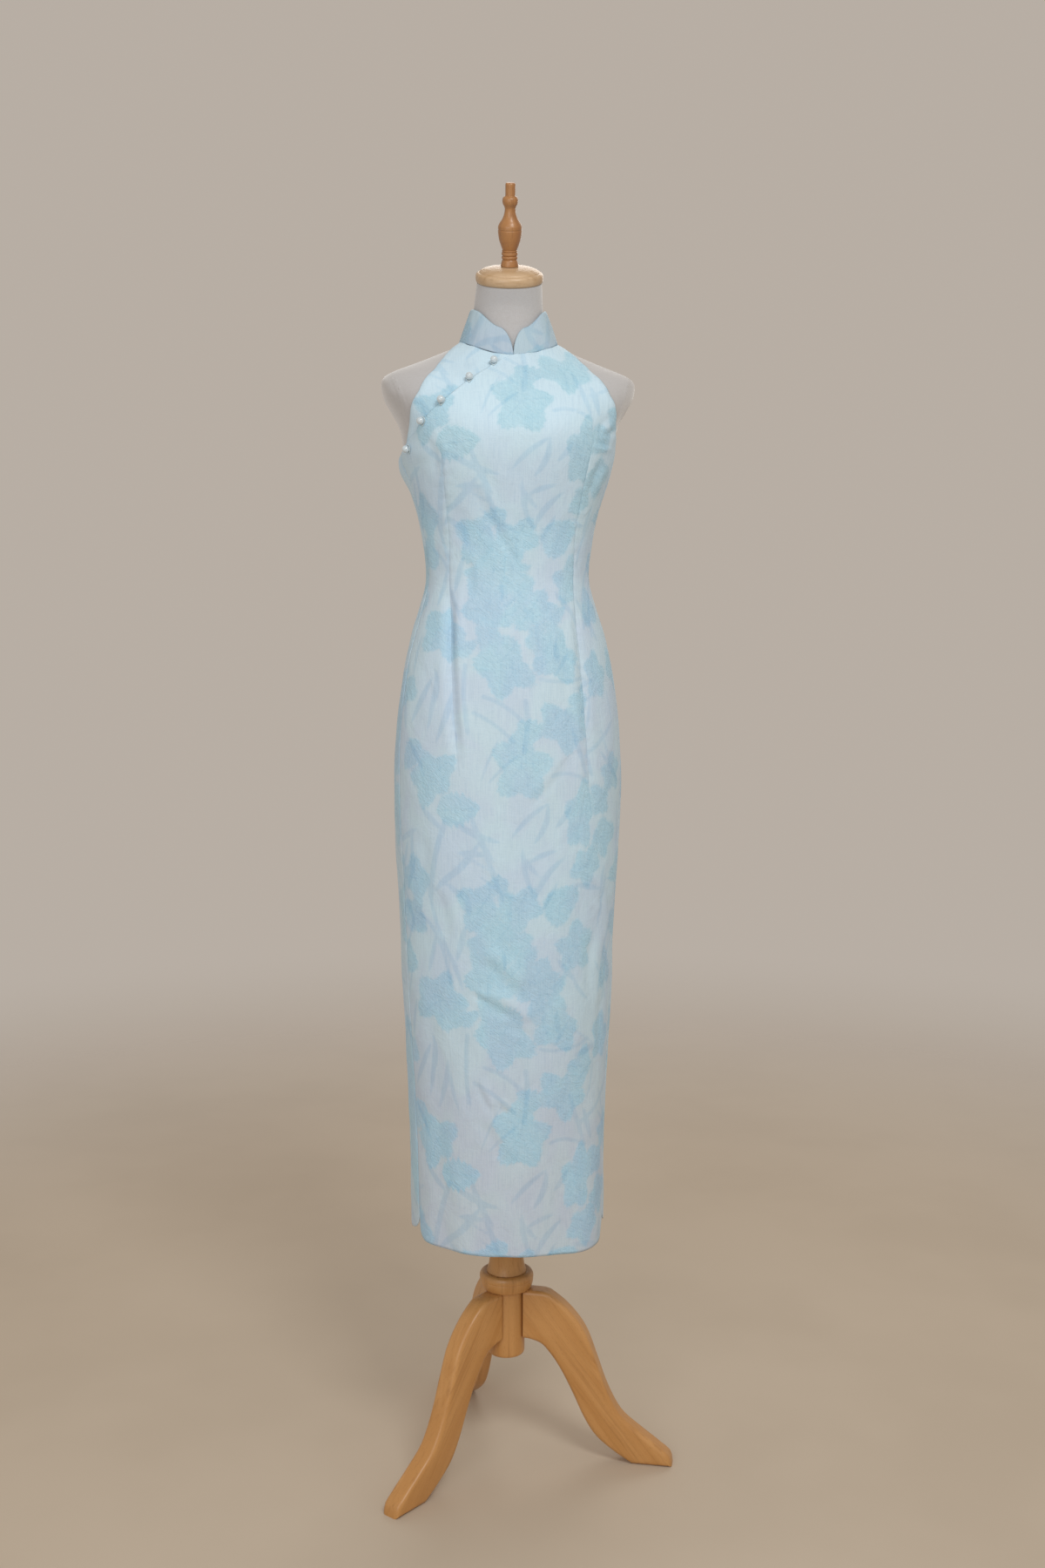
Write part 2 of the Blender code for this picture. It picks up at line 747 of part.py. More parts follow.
def column(wood, group, stand):
    turned("pole_upper", POLE_PROFILE, wood, group, stand)
    turned("pole_hub", HUB_PROFILE, wood, group, stand)

    tube = RING_TUBE
    low = math.acos((DISC_RADIUS - tube["radius"]) / tube["thickness"])
    arc = [blend(math.radians(62), -low, step / 8) for step in range(9)]
    outline = [(0.0, RING_TOP), (0.0300, RING_TOP)]
    outline += [(tube["radius"] + tube["thickness"] * math.cos(angle),
                 tube["height"] + tube["thickness"] * math.sin(angle)) for angle in arc]
    outline += [(DISC_RADIUS, RING_BOTTOM), (0.0, RING_BOTTOM)]
    turned("pole_ring", outline, wood, group, stand)


def leg_outline():
    """Smooth upper and under edges, sampled by length, round the flat sole."""
    upper = path_through(LEG_TOP_EDGE)
    under = path_through(LEG_UNDER_EDGE)
    return ([upper(step / LEG_EDGE_STEPS) for step in range(LEG_EDGE_STEPS + 1)]
            + [under(step / LEG_EDGE_STEPS) for step in range(LEG_EDGE_STEPS + 1)])


def leg_piece(number, degrees, wood, cutter, group, stand):
    curve = bpy.data.curves.new(f"leg_{number}_outline", "CURVE")
    curve.dimensions = "2D"
    curve.fill_mode = "BOTH"
    curve.extrude = LEG_THICKNESS / 2 - LEG_EDGE
    curve.bevel_depth = LEG_EDGE
    curve.bevel_resolution = 1
    curve.offset = -LEG_EDGE
    spline = curve.splines.new("POLY")
    outline = leg_outline()
    spline.points.add(len(outline) - 1)
    for point, (along, height) in zip(spline.points, outline):
        point.co = (along, height, 0.0, 1.0)
    spline.use_cyclic_u = True
    shape = bpy.data.objects.new(f"leg_{number}_outline", curve)
    group.objects.link(shape)
    bpy.context.view_layer.update()

    mesh = bpy.data.meshes.new_from_object(
        shape.evaluated_get(bpy.context.evaluated_depsgraph_get()))
    mesh.name = f"leg_{number}"
    bpy.data.objects.remove(shape)
    bm = bmesh.new()
    bm.from_mesh(mesh)
    bmesh.ops.remove_doubles(bm, verts=bm.verts[:], dist=0.00002)
    upright = Matrix.Rotation(math.radians(degrees), 4, "Z") @ Matrix.Rotation(math.pi / 2, 4, "X")
    bmesh.ops.transform(bm, matrix=upright, verts=bm.verts[:])
    bmesh.ops.recalc_face_normals(bm, faces=bm.faces[:])
    bm.to_mesh(mesh)
    bm.free()
    mesh.materials.clear()
    leg = keep(f"leg_{number}", mesh, wood, group, stand)
    cut = leg.modifiers.new("Hub seat", "BOOLEAN")
    cut.operation = "DIFFERENCE"
    cut.solver = "EXACT"
    cut.object = cutter


def hub_cutter(guides, stand):
    """The room that the hub takes in the legs' roots."""
    bm = bmesh.new()
    bmesh.ops.create_cone(bm, cap_ends=True, segments=TURNED_SIDES, radius1=HUB_RADIUS + GAP,
                          radius2=HUB_RADIUS + GAP, depth=0.3)
    bmesh.ops.translate(bm, verts=bm.verts[:], vec=(0, 0, 0.2))
    mesh = bpy.data.meshes.new("hub_cutter")
    bm.to_mesh(mesh)
    bm.free()
    cutter = bpy.data.objects.new("hub_cutter", mesh)
    guides.objects.link(cutter)
    cutter.parent = stand
    cutter.display_type = "WIRE"
    cutter.hide_render = True
    return cutter


# ---------------------------------------------------------------- the whole part

for old in list(bpy.data.objects):
    bpy.data.objects.remove(old)

part = bpy.data.collections.new("cheongsam_on_form")
tools = bpy.data.collections.new("cutters")
bpy.context.scene.collection.children.link(part)
bpy.context.scene.collection.children.link(tools)
axis = bpy.data.objects.new("pole_axis", None)
axis.location = (*POLE_AXIS, 0.0)
part.objects.link(axis)

cloth = material("dress_cloth", (0.62, 0.70, 0.76), 0.55)
pearl = material("pearl", (0.86, 0.87, 0.88), 0.20)
cover = material("form_cover", (0.62, 0.60, 0.58), 0.85)
beech = material("stand_wood", (0.46, 0.27, 0.12), 0.45)
pale_beech = material("cap_wood", (0.62, 0.44, 0.25), 0.45)

front_piece(cloth, part, axis)
yoke_piece(cloth, part, axis)
back_piece(cloth, part, axis)
collar_piece(cloth, part, axis)
button_pieces(pearl, cloth, part, axis)
form_torso(cover, part, axis)
neck_top(pale_beech, beech, part, axis)
column(beech, part, axis)
root_room = hub_cutter(tools, axis)
for leg_number, leg_turn in enumerate(LEG_TURNS, 1):
    leg_piece(leg_number, leg_turn, beech, root_room, part, axis)
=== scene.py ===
"""A cheongsam on its limbless dress form, from the floor up."""

import math

import bmesh
import bpy
import numpy as np
from mathutils import Matrix, Vector


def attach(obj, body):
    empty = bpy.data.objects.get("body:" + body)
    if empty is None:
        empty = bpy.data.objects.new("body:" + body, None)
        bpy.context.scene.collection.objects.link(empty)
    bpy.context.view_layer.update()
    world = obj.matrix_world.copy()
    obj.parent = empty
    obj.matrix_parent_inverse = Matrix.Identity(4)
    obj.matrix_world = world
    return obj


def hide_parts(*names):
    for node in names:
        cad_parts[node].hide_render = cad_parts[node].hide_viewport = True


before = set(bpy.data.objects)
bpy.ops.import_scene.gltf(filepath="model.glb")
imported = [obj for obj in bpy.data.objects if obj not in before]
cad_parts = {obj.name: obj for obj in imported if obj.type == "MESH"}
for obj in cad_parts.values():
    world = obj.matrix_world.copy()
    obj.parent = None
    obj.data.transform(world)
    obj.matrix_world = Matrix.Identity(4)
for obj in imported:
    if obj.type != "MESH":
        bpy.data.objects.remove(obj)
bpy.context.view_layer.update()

# ------------------------------------------------------------------ feet
# Three feet sawn from beech board in a long double curve, their edges rounded over, glued
# and screwed to the hub.  Each stands on a small flat sole.  The grain runs down the foot.

STAND_AXIS = Vector((-0.025, -0.033, 0.0))
FOOT_TURNS = {"leg_1": 103, "leg_2": -17, "leg_3": -137}     # degrees about the pole from +X
FOOT_THICKNESS = 0.0290
FOOT_ROUNDING = 0.0062
FOOT_STEPS = 44
HUB_RADIUS = 0.0263
ROOT_CLEARANCE = 0.0003
# A foot seen from the side: distance from the pole, height
FOOT_TOP_EDGE = (
    (0.0150, 0.2467), (0.0560, 0.2460), (0.0760, 0.2355), (0.1000, 0.2136), (0.1175, 0.1880),
    (0.1320, 0.1500), (0.1470, 0.1090), (0.1680, 0.0710), (0.1970, 0.0470), (0.2230, 0.0280),
    (0.2410, 0.0120), (0.2430, 0.0000),
)
FOOT_UNDER_EDGE = (
    (0.1850, 0.0000), (0.1590, 0.0160), (0.1320, 0.0380), (0.1150, 0.0640), (0.1000, 0.0960),
    (0.0820, 0.1310), (0.0650, 0.1560), (0.0500, 0.1700), (0.0270, 0.1750), (0.0150, 0.1750),
)


def steady_curve(keys, values):
    """A curve through the values that never overshoots.  It takes numbers or arrays."""
    keys, values = np.array(keys, float), np.array(values, float)
    steps = np.diff(keys)
    rises = np.diff(values) / steps
    slopes = np.concatenate((rises[:1], np.zeros(len(rises) - 1), rises[-1:]))
    before, after = rises[:-1], rises[1:]
    same_way = before * after > 0
    slopes[1:-1][same_way] = (2 * before * after / np.where(same_way, before + after, 1))[same_way]

    def curve(key):
        key = np.clip(key, keys[0], keys[-1])
        i = np.clip(np.searchsorted(keys, key, side="right") - 1, 0, len(steps) - 1)
        s = (key - keys[i]) / steps[i]
        return ((1 + 2 * s) * (1 - s) ** 2 * values[i] + s * (1 - s) ** 2 * steps[i] * slopes[i]
                + s * s * (3 - 2 * s) * values[i + 1]
                + s * s * (s - 1) * steps[i] * slopes[i + 1])

    return curve


def path_through(points, places=None):
    """A smooth path through points, run through from 0 to 1 by the length between places."""
    places = np.array(points if places is None else places, float)
    lengths = np.concatenate(([0], np.cumsum(np.linalg.norm(np.diff(places, axis=0), axis=1))))
    curves = [steady_curve(lengths / lengths[-1], column) for column in zip(*points)]
    return lambda share: tuple(curve(share) for curve in curves)


def add_node(tree, kind, inputs=(), **settings):
    """A shader node with its settings made and its inputs set or linked."""
    made = tree.nodes.new(kind)
    for key, value in settings.items():
        setattr(made, key, value)
    for key, value in dict(inputs).items():
        if isinstance(value, bpy.types.NodeSocket):
            tree.links.new(value, made.inputs[key])
        else:
            made.inputs[key].default_value = value
    return made


def times(tree, a, b, operation="MULTIPLY"):
    return add_node(tree, "ShaderNodeMath", {0: a, 1: b}, operation=operation).outputs[0]


def plus(tree, a, b):
    return times(tree, a, b, "ADD")


def minus(tree, a, b):
    return times(tree, a, b, "SUBTRACT")


def mixed(tree, share, one, other, how="MIX"):
    """One colour turned into another by a share."""
    made = add_node(tree, "ShaderNodeMix", {0: share, 6: one, 7: other}, data_type="RGBA",
                    blend_type=how)
    return made.outputs[2]


def stretched_noise(tree, vector, scale, detail=3.0, roughness=0.55, distortion=0.0):
    """Noise that is finer along some directions than along others."""
    place = add_node(tree, "ShaderNodeMapping", {"Vector": vector, "Scale": scale})
    return add_node(tree, "ShaderNodeTexNoise",
                    {"Vector": place.outputs[0], "Scale": 1.0, "Detail": detail,
                     "Roughness": roughness, "Distortion": distortion}).outputs["Fac"]


def spread_out(tree, value, low, high):
    """The part of a value between low and high, spread from 0 to 1."""
    return add_node(tree, "ShaderNodeMapRange", {0: value, 1: low, 2: high},
                    interpolation_type="SMOOTHSTEP").outputs[0]


def ranged(tree, value, low, high, first, last):
    """A value from low to high, turned into one from first to last."""
    return add_node(tree, "ShaderNodeMapRange",
                    {0: value, 1: low, 2: high, 3: first, 4: last}).outputs[0]


def bump(tree, shader, height, strength, distance=1.0):
    """Fine relief of a surface."""
    relief = add_node(tree, "ShaderNodeBump",
                      {"Height": height, "Strength": strength, "Distance": distance})
    tree.links.new(relief.outputs[0], shader.inputs["Normal"])


def blank_material(name, roughness, **shader_inputs):
    made = bpy.data.materials.new(name)
    made.use_nodes = True
    shader = made.node_tree.nodes["Principled BSDF"]
    shader.inputs["Roughness"].default_value = roughness
    for key, value in shader_inputs.items():
        shader.inputs[key.replace("_", " ")].default_value = value
    return made, made.node_tree, shader


def beech(name, pale, deep, dark):
    """Steamed beech under satin lacquer: soft long streaks, and short dark flecks."""
    made, tree, shader = blank_material(name, 0.42, Coat_Weight=0.28, Coat_Roughness=0.22)
    grain = add_node(tree, "ShaderNodeAttribute", attribute_name="grain").outputs["Vector"]
    broad = stretched_noise(tree, grain, (3.0, 44, 44), 2.0, 0.5, 0.8)
    streak = stretched_noise(tree, grain, (7, 190, 190), 4.0, 0.62, 0.3)
    fleck = stretched_noise(tree, grain, (160, 1500, 1500), 1.0, 0.4)
    colour = mixed(tree, spread_out(tree, broad, 0.34, 0.66), (*pale, 1), (*deep, 1))
    for marks, low, high, strength in ((streak, 0.50, 0.74, 0.55), (fleck, 0.64, 0.72, 0.45)):
        share = times(tree, spread_out(tree, marks, low, high), strength)
        colour = mixed(tree, share, colour, (*dark, 1))
    tree.links.new(colour, shader.inputs["Base Color"])
    tree.links.new(ranged(tree, streak, 0.3, 0.7, 0.36, 0.50), shader.inputs["Roughness"])
    bump(tree, shader, minus(tree, streak, fleck), 0.20, 0.0004)
    return made


stand_wood = beech("stand_beech", (0.600, 0.312, 0.106), (0.535, 0.262, 0.078),
                   (0.380, 0.172, 0.046))


def show(name, data):
    """A new object in the scene."""
    made = bpy.data.objects.new(name, data)
    bpy.context.scene.collection.objects.link(made)
    return made


def mesh_from(bm, name, mesh=None):
    """A mesh with what the bmesh holds, which is then let go."""
    mesh = mesh or bpy.data.meshes.new(name)
    bm.to_mesh(mesh)
    bm.free()
    return mesh


def finish(name, mesh, coat, nodes, sharp=35, grain=None):
    """Put a finished mesh in the scene, in the place of its solids."""
    mesh.name = name
    mesh.materials.clear()
    mesh.materials.append(coat)
    mesh.shade_smooth()
    mesh.set_sharp_from_angle(angle=math.radians(sharp))
    if grain is not None:
        mark = mesh.attributes.new("grain", "FLOAT_VECTOR", "POINT")
        mark.data.foreach_set("vector", np.array([grain(v.co) for v in mesh.vertices]).ravel())
    piece = show(name, mesh)
    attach(piece, "root")
    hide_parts(*nodes)
    return piece


def foot_mesh():
    """The sawn and rounded foot, lying flat: distance from the pole, height, thickness."""
    curve = bpy.data.curves.new("foot_outline", "CURVE")
    curve.dimensions = "2D"
    curve.fill_mode = "BOTH"
    curve.extrude = FOOT_THICKNESS / 2 - FOOT_ROUNDING
    curve.bevel_depth = FOOT_ROUNDING
    curve.bevel_resolution = 4
    curve.offset = -FOOT_ROUNDING
    upper, under = path_through(FOOT_TOP_EDGE), path_through(FOOT_UNDER_EDGE)
    shares = np.linspace(0, 1, FOOT_STEPS + 1)
    outline = [*zip(*upper(shares)), *zip(*under(shares))]
    spline = curve.splines.new("POLY")
    spline.points.add(len(outline) - 1)
    for point, (along, height) in zip(spline.points, outline):
        point.co = (along, height, 0.0, 1.0)
    spline.use_cyclic_u = True
    shape = show("foot_outline", curve)
    bpy.context.view_layer.update()
    mesh = bpy.data.meshes.new_from_object(
        shape.evaluated_get(bpy.context.evaluated_depsgraph_get()))
    bpy.data.objects.remove(shape)
    return mesh


for node, degrees in FOOT_TURNS.items():
    flat = foot_mesh()
    bm = bmesh.new()
    bm.from_mesh(flat)
    bmesh.ops.remove_doubles(bm, verts=bm.verts[:], dist=0.00002)
    # the root is sawn square, and butts on the round hub
    cut = bmesh.ops.bisect_plane(
        bm, geom=bm.verts[:] + bm.edges[:] + bm.faces[:], dist=0.00001,
        plane_co=(HUB_RADIUS + ROOT_CLEARANCE, 0, 0), plane_no=(1, 0, 0), clear_inner=True)
    rim = [part for part in cut["geom_cut"] if isinstance(part, bmesh.types.BMEdge)]
    bmesh.ops.holes_fill(bm, edges=rim, sides=0)
    upright = (Matrix.Translation(STAND_AXIS) @ Matrix.Rotation(math.radians(degrees), 4, "Z")
               @ Matrix.Rotation(math.pi / 2, 4, "X"))
    bmesh.ops.transform(bm, matrix=upright, verts=bm.verts[:])
    bmesh.ops.recalc_face_normals(bm, faces=bm.faces[:])
    mesh_from(bm, node, flat)
    laid_flat = upright.inverted()
    lean = Matrix.Rotation(math.radians(52), 4, "Z")
    finish(f"foot_{node[-1]}", flat, stand_wood, [node],
           grain=lambda co: tuple(lean @ (laid_flat @ co)))

# ------------------------------------------------------------------ pole, ring and hub
# The beech pole is turned with a slight flare at its foot.  It stands in a fat turned ring,
# and the hub that carries the feet goes on below it.  All are turned from one blank each.

TURNED_STEPS = 72
POLE_RADIUS = 0.0240
POLE_TOP = 0.9397
# Turned profiles: radius, height, rounding of that corner
POLE_PROFILE = (
    (0.0000, POLE_TOP, 0), (POLE_RADIUS, POLE_TOP, 0.001), (POLE_RADIUS, 0.3150, 0.01),
    (0.0243, 0.2900, 0.006), (0.0257, 0.2805, 0.004), (0.0287, 0.2713, 0), (0.0000, 0.2713, 0),
)
RING_PROFILE = (
    (0.0000, 0.2710, 0), (0.0291, 0.2710, 0.0004), (0.0330, 0.2716, 0.0016),
    (0.0366, 0.2702, 0.0030), (0.0388, 0.2660, 0.0036), (0.0388, 0.2622, 0.0010),
    (0.0381, 0.2610, 0.0004), (0.0385, 0.2600, 0.0008), (0.0380, 0.2540, 0.0040),
    (0.0358, 0.2482, 0.0024), (0.0345, 0.2470, 0.0006), (0.0000, 0.2470, 0),
)
HUB_PROFILE = (
    (0.0000, 0.2467, 0), (HUB_RADIUS, 0.2467, 0), (HUB_RADIUS, 0.1520, 0.003),
    (0.0251, 0.1492, 0.001), (0.0223, 0.1480, 0.001), (0.0000, 0.1480, 0),
)


def eased(profile, steps=5):
    """A turned profile with each corner rounded as far as its table says."""
    points = [Vector(row[:2]) for row in profile]
    out = [points[0]]
    for before, at, after, (_, _, rounding) in zip(points, points[1:], points[2:], profile[1:]):
        back, on = before - at, after - at
        reach = min(rounding, 0.45 * back.length, 0.45 * on.length)
        if reach <= 0:
            out.append(at)
            continue
        start, end = at + back.normalized() * reach, at + on.normalized() * reach
        for step in range(steps + 1):
            share = step / steps
            out.append(start.lerp(at, share).lerp(at.lerp(end, share), share))
    return out + [points[-1]]


def turned_mesh(profile, matrix, sides=TURNED_STEPS):
    """A profile spun on the lathe, its seam and its two ends closed."""
    bm = bmesh.new()
    verts = [bm.verts.new((radius, 0, height)) for radius, height in profile]
    edges = [bm.edges.new(pair) for pair in zip(verts, verts[1:])]
    bmesh.ops.spin(bm, geom=verts + edges, axis=(0, 0, 1), cent=(0, 0, 0), steps=sides,
                   angle=math.tau, use_merge=True)
    bmesh.ops.remove_doubles(bm, verts=bm.verts[:], dist=0.00001)
    bmesh.ops.recalc_face_normals(bm, faces=bm.faces[:])
    bmesh.ops.transform(bm, matrix=matrix, verts=bm.verts[:])
    return mesh_from(bm, "turned")


def standing_grain(co):
    """Grain up the pole, started at a different place in the tree for each height."""
    return (co.z * 0.8, co.x - STAND_AXIS.x + 0.06, co.y - STAND_AXIS.y)


on_axis = Matrix.Translation(STAND_AXIS)
for name, node, profile in (("pole", "pole_upper", POLE_PROFILE),
                            ("ring", "pole_ring", RING_PROFILE), ("hub", "pole_hub", HUB_PROFILE)):
    finish(name, turned_mesh(eased(profile), on_axis), stand_wood, [node],
           sharp=50, grain=standing_grain)

# ------------------------------------------------------------------ dress form
# A hard shell padded and covered in one layer of off-white jersey, drawn tight.  It shows at
# the shoulders and the neck, where the cover's seams run as fine ridges.

CLOTH_WALL = 0.0015          # the solids' cloth, and so the form's distance below its skin
FORM_BOTTOM = 0.940
FORM_COLUMNS = 144
FORM_ROWS = 220
# How much smaller the form is than the inside of the dress
FORM_EASE = ((0.940, 0.0045), (1.020, 0.0062), (1.200, 0.0062), (1.320, 0.0035),
             (1.470, 0.0025), (1.540, 0.0011))
FORM_FOOT_INSET = 0.95       # the bottom row, drawn in against the one above
NECK_TOP_RADIUS = 0.0440
NECK_TOP_CENTRE = (-0.0135, 1.6595)      # Y and Z
NECK_TILT = math.radians(21)
NECK_TILT_TURN = math.radians(-5)
# The figure, measured on the outside of the cloth:
# height, half width, depth in front, depth behind, fullness (2 is an ellipse)
SECTIONS = (
    (0.345, 0.1375, 0.1290, 0.1240, 2.10), (0.450, 0.1380, 0.1290, 0.1245, 2.10),
    (0.560, 0.1417, 0.1300, 0.1255, 2.10), (0.680, 0.1470, 0.1310, 0.1265, 2.15),
    (0.800, 0.1512, 0.1310, 0.1285, 2.20), (0.900, 0.1565, 0.1300, 0.1310, 2.25),
    (0.984, 0.1587, 0.1270, 0.1300, 2.25), (1.060, 0.1550, 0.1200, 0.1270, 2.25),
    (1.130, 0.1460, 0.1115, 0.1160, 2.20), (1.184, 0.1340, 0.1030, 0.1010, 2.15),
    (1.220, 0.1230, 0.0960, 0.0890, 2.10), (1.265, 0.1120, 0.0890, 0.0790, 2.10),
    (1.310, 0.1160, 0.0930, 0.0800, 2.15), (1.355, 0.1255, 0.1050, 0.0850, 2.25),
    (1.400, 0.1395, 0.1190, 0.0905, 2.35), (1.430, 0.1465, 0.1265, 0.0940, 2.40),
    (1.452, 0.1485, 0.1285, 0.0960, 2.50), (1.470, 0.1535, 0.1245, 0.0977, 2.60),
    (1.490, 0.1655, 0.1150, 0.0985, 2.70), (1.508, 0.1740, 0.1045, 0.0972, 2.75),
    (1.523, 0.1762, 0.0940, 0.0935, 2.70), (1.532, 0.1735, 0.0860, 0.0900, 2.60),
    (1.539, 0.1640, 0.0795, 0.0865, 2.50), (1.548, 0.1420, 0.0710, 0.0820, 2.40),
    (1.557, 0.1190, 0.0640, 0.0765, 2.30), (1.568, 0.0930, 0.0565, 0.0700, 2.15),
    (1.580, 0.0668, 0.0515, 0.0620, 2.00), (1.590, 0.0575, 0.0490, 0.0560, 2.00),
    (1.600, 0.0530, 0.0478, 0.0520, 2.00), (1.612, 0.0505, 0.0480, 0.0490, 2.00),
    (1.625, 0.0497, 0.0497, 0.0478, 2.00),
)
SMOOTHING_STEP = 0.0015
SMOOTHING_PASSES = (60, 4)           # below and above the shoulders' start
SMOOTHING_CHANGE, SMOOTHING_BLEND = 1.480, 0.02


def smooth_step(value):
    value = np.clip(value, 0.0, 1.0)
    return value * value * (3 - 2 * value)


def blend(a, b, share):
    return a + (b - a) * share


def bulge(off, half, middle=0.0):
    """A soft round ridge, 1 high, at a distance from a line."""
    return np.exp(-((off - middle) / half) ** 2)


def wrapped(turn):
    """A turn brought between half a turn back and half a turn on."""
    return np.remainder(turn + math.pi, math.tau) - math.pi


def figure_curve(column):
    """One column of the figure's table, faired so that no section shows as a band."""
    keys = np.arange(SECTIONS[0][0], SECTIONS[-1][0], SMOOTHING_STEP)
    values = steady_curve([row[0] for row in SECTIONS], [row[column] for row in SECTIONS])(keys)
    firm = smooth_step((keys - SMOOTHING_CHANGE) / SMOOTHING_BLEND)
    many, few = SMOOTHING_PASSES
    for step in range(many):
        faired = values.copy()
        faired[1:-1] = (values[:-2] + 2 * values[1:-1] + values[2:]) / 4
        values = blend(faired, values, firm if step >= few else 0.0)
    return lambda height: np.interp(height, keys, values)


half_width, front_depth, back_depth, fullness = (figure_curve(column) for column in range(1, 5))


def on_figure(turn, height):
    """Points of the figure's skin, turned about the pole from the front, as rows of X, Y, Z."""
    across, along = np.sin(turn), np.cos(turn)
    depth = np.where(along > 0, front_depth(height), back_depth(height))
    power = fullness(height)
    radius = ((np.abs(across) / half_width(height)) ** power
              + (np.abs(along) / depth) ** power) ** (-1 / power)
    return np.stack((radius * across, -radius * along, height + 0 * turn), axis=-1)


def unit(rows):
    return rows / np.linalg.norm(rows, axis=-1, keepdims=True)


def skin_normal(turn, height):
    step = 0.003
    side = on_figure(turn + step, height) - on_figure(turn - step, height)
    up = on_figure(turn, height + step) - on_figure(turn, height - step)
    return unit(np.cross(side, up))


def grid_mesh(name, columns, rows, place, marks):
    """A fine sheet.  place gives its points from the shares across and up, 0 to 1, and
    marks what its material reads at them."""
    bm = bmesh.new()
    bmesh.ops.create_grid(bm, x_segments=columns, y_segments=rows, size=1.0)
    shares = (np.array([vert.co[:2] for vert in bm.verts]) + 1) / 2
    points = place(*shares.T) + np.array(STAND_AXIS)
    for vert, point in zip(bm.verts, points):
        vert.co = point
    mesh = mesh_from(bm, name)
    for key, values in marks(*shares.T).items():
        kind, field = (("FLOAT_VECTOR", "vector") if values.ndim == 2 else ("FLOAT", "value"))
        layer = mesh.attributes.new(key, kind, "POINT")
        layer.data.foreach_set(field, np.ascontiguousarray(values, np.float32).ravel())
    return mesh


# The cover's seams run up the middle of the back and round each shoulder's end
SHOULDER_TIP = (0.1740, 1.523)       # distance from the middle, height
PLATE_INSET, PLATE_SLANT, PLATE_LOWEST = 0.0165, 0.35, 1.40
BACK_SEAM_DEPTH = 0.09               # from the pole to the seam behind
# Rows lie closer together over the shoulders: share of the rows, height
TRUNK_SHARE = 0.94                   # the rest of the rows make the neck's sloping top
FORM_ROW_HEIGHTS = (
    (0, FORM_BOTTOM), (0.02, FORM_BOTTOM + 0.008), (0.36, 1.46), (0.82, 1.59),
    (TRUNK_SHARE, SECTIONS[-1][0] - SMOOTHING_STEP),
)
NECK_BEND = 0.35                     # how far the neck swings up before it follows its tilt

form_ease = steady_curve(*zip(*FORM_EASE))
row_height = steady_curve(*zip(*FORM_ROW_HEIGHTS))


def form_seams(points, turn):
    """Distance from the cover's seams."""
    x, z = SHOULDER_TIP
    tip = np.abs(points[:, 0]) + PLATE_SLANT * (z - points[:, 2])
    plate = np.where(points[:, 2] > PLATE_LOWEST, np.abs(tip - (x - PLATE_INSET)), 1.0)
    behind = np.abs(np.remainder(turn, math.tau) - math.pi) * BACK_SEAM_DEPTH
    return np.minimum(plate, behind)


def form_place(u, v):
    turn = u * math.tau
    height = row_height(np.minimum(v, TRUNK_SHARE))
    inward = CLOTH_WALL + form_ease(height)
    points = on_figure(turn, height) - skin_normal(turn, height) * inward[:, None]
    points[:, :2] *= np.where(v == 0, FORM_FOOT_INSET, 1.0)[:, None]
    # the neck goes on up to its sloping round top
    share = np.clip((v - TRUNK_SHARE) / (1 - TRUNK_SHARE), 0, 1)[:, None]
    y, z = NECK_TOP_CENTRE
    around = turn - NECK_TILT_TURN
    rim = np.stack((np.sin(around), -np.cos(around) * math.cos(NECK_TILT),
                    -np.cos(around) * math.sin(NECK_TILT)), axis=-1) * NECK_TOP_RADIUS
    c, s = math.cos(NECK_TILT_TURN), math.sin(NECK_TILT_TURN)
    rim = np.stack((rim[:, 0] * c - rim[:, 1] * s, rim[:, 0] * s + rim[:, 1] * c + y,
                    rim[:, 2] + z), axis=-1)
    bend = NECK_BEND * share * (1 - share) * (1 - share)
    lift = np.array((0, 0, 1.0)) * (rim[:, 2:] - points[:, 2:])
    return points + (rim - points) * share + (lift - (rim - points)) * bend


def form_marks(u, v):
    points = form_place(u, v)
    return {"cloth": points, "seam": form_seams(points, u * math.tau)}


def jersey(name, colour, shade):
    """Fine knitted cover: soft ribs up and down, a little pilling, quite matt."""
    made, tree, shader = blank_material(name, 0.86, Sheen_Weight=0.75, Sheen_Roughness=0.5)
    place = add_node(tree, "ShaderNodeAttribute", attribute_name="cloth").outputs["Vector"]
    ribs = stretched_noise(tree, place, (1300, 1300, 220), 2.0, 0.5)
    rows = stretched_noise(tree, place, (280, 280, 1300), 2.0, 0.5)
    soil = stretched_noise(tree, place, (8, 8, 9), 4.0, 0.6)
    knit = plus(tree, ribs, rows)
    colour_now = mixed(tree, spread_out(tree, soil, 0.35, 0.75), (*colour, 1), (*shade, 1))
    share = times(tree, spread_out(tree, knit, 0.85, 1.25), 0.16)
    colour_now = mixed(tree, share, colour_now, (0.30, 0.29, 0.27, 1))
    seam = add_node(tree, "ShaderNodeAttribute", attribute_name="seam").outputs["Fac"]
    stitched = spread_out(tree, seam, 0.0011, 0.0002)
    ridge = spread_out(tree, seam, 0.0050, 0.0012)
    colour_now = mixed(tree, times(tree, stitched, 0.35), colour_now, (0.24, 0.23, 0.21, 1))
    tree.links.new(colour_now, shader.inputs["Base Color"])
    height = plus(tree, times(tree, knit, 0.0002),
                  times(tree, minus(tree, ridge, stitched), 0.0007))
    bump(tree, shader, height, 0.8)
    return made


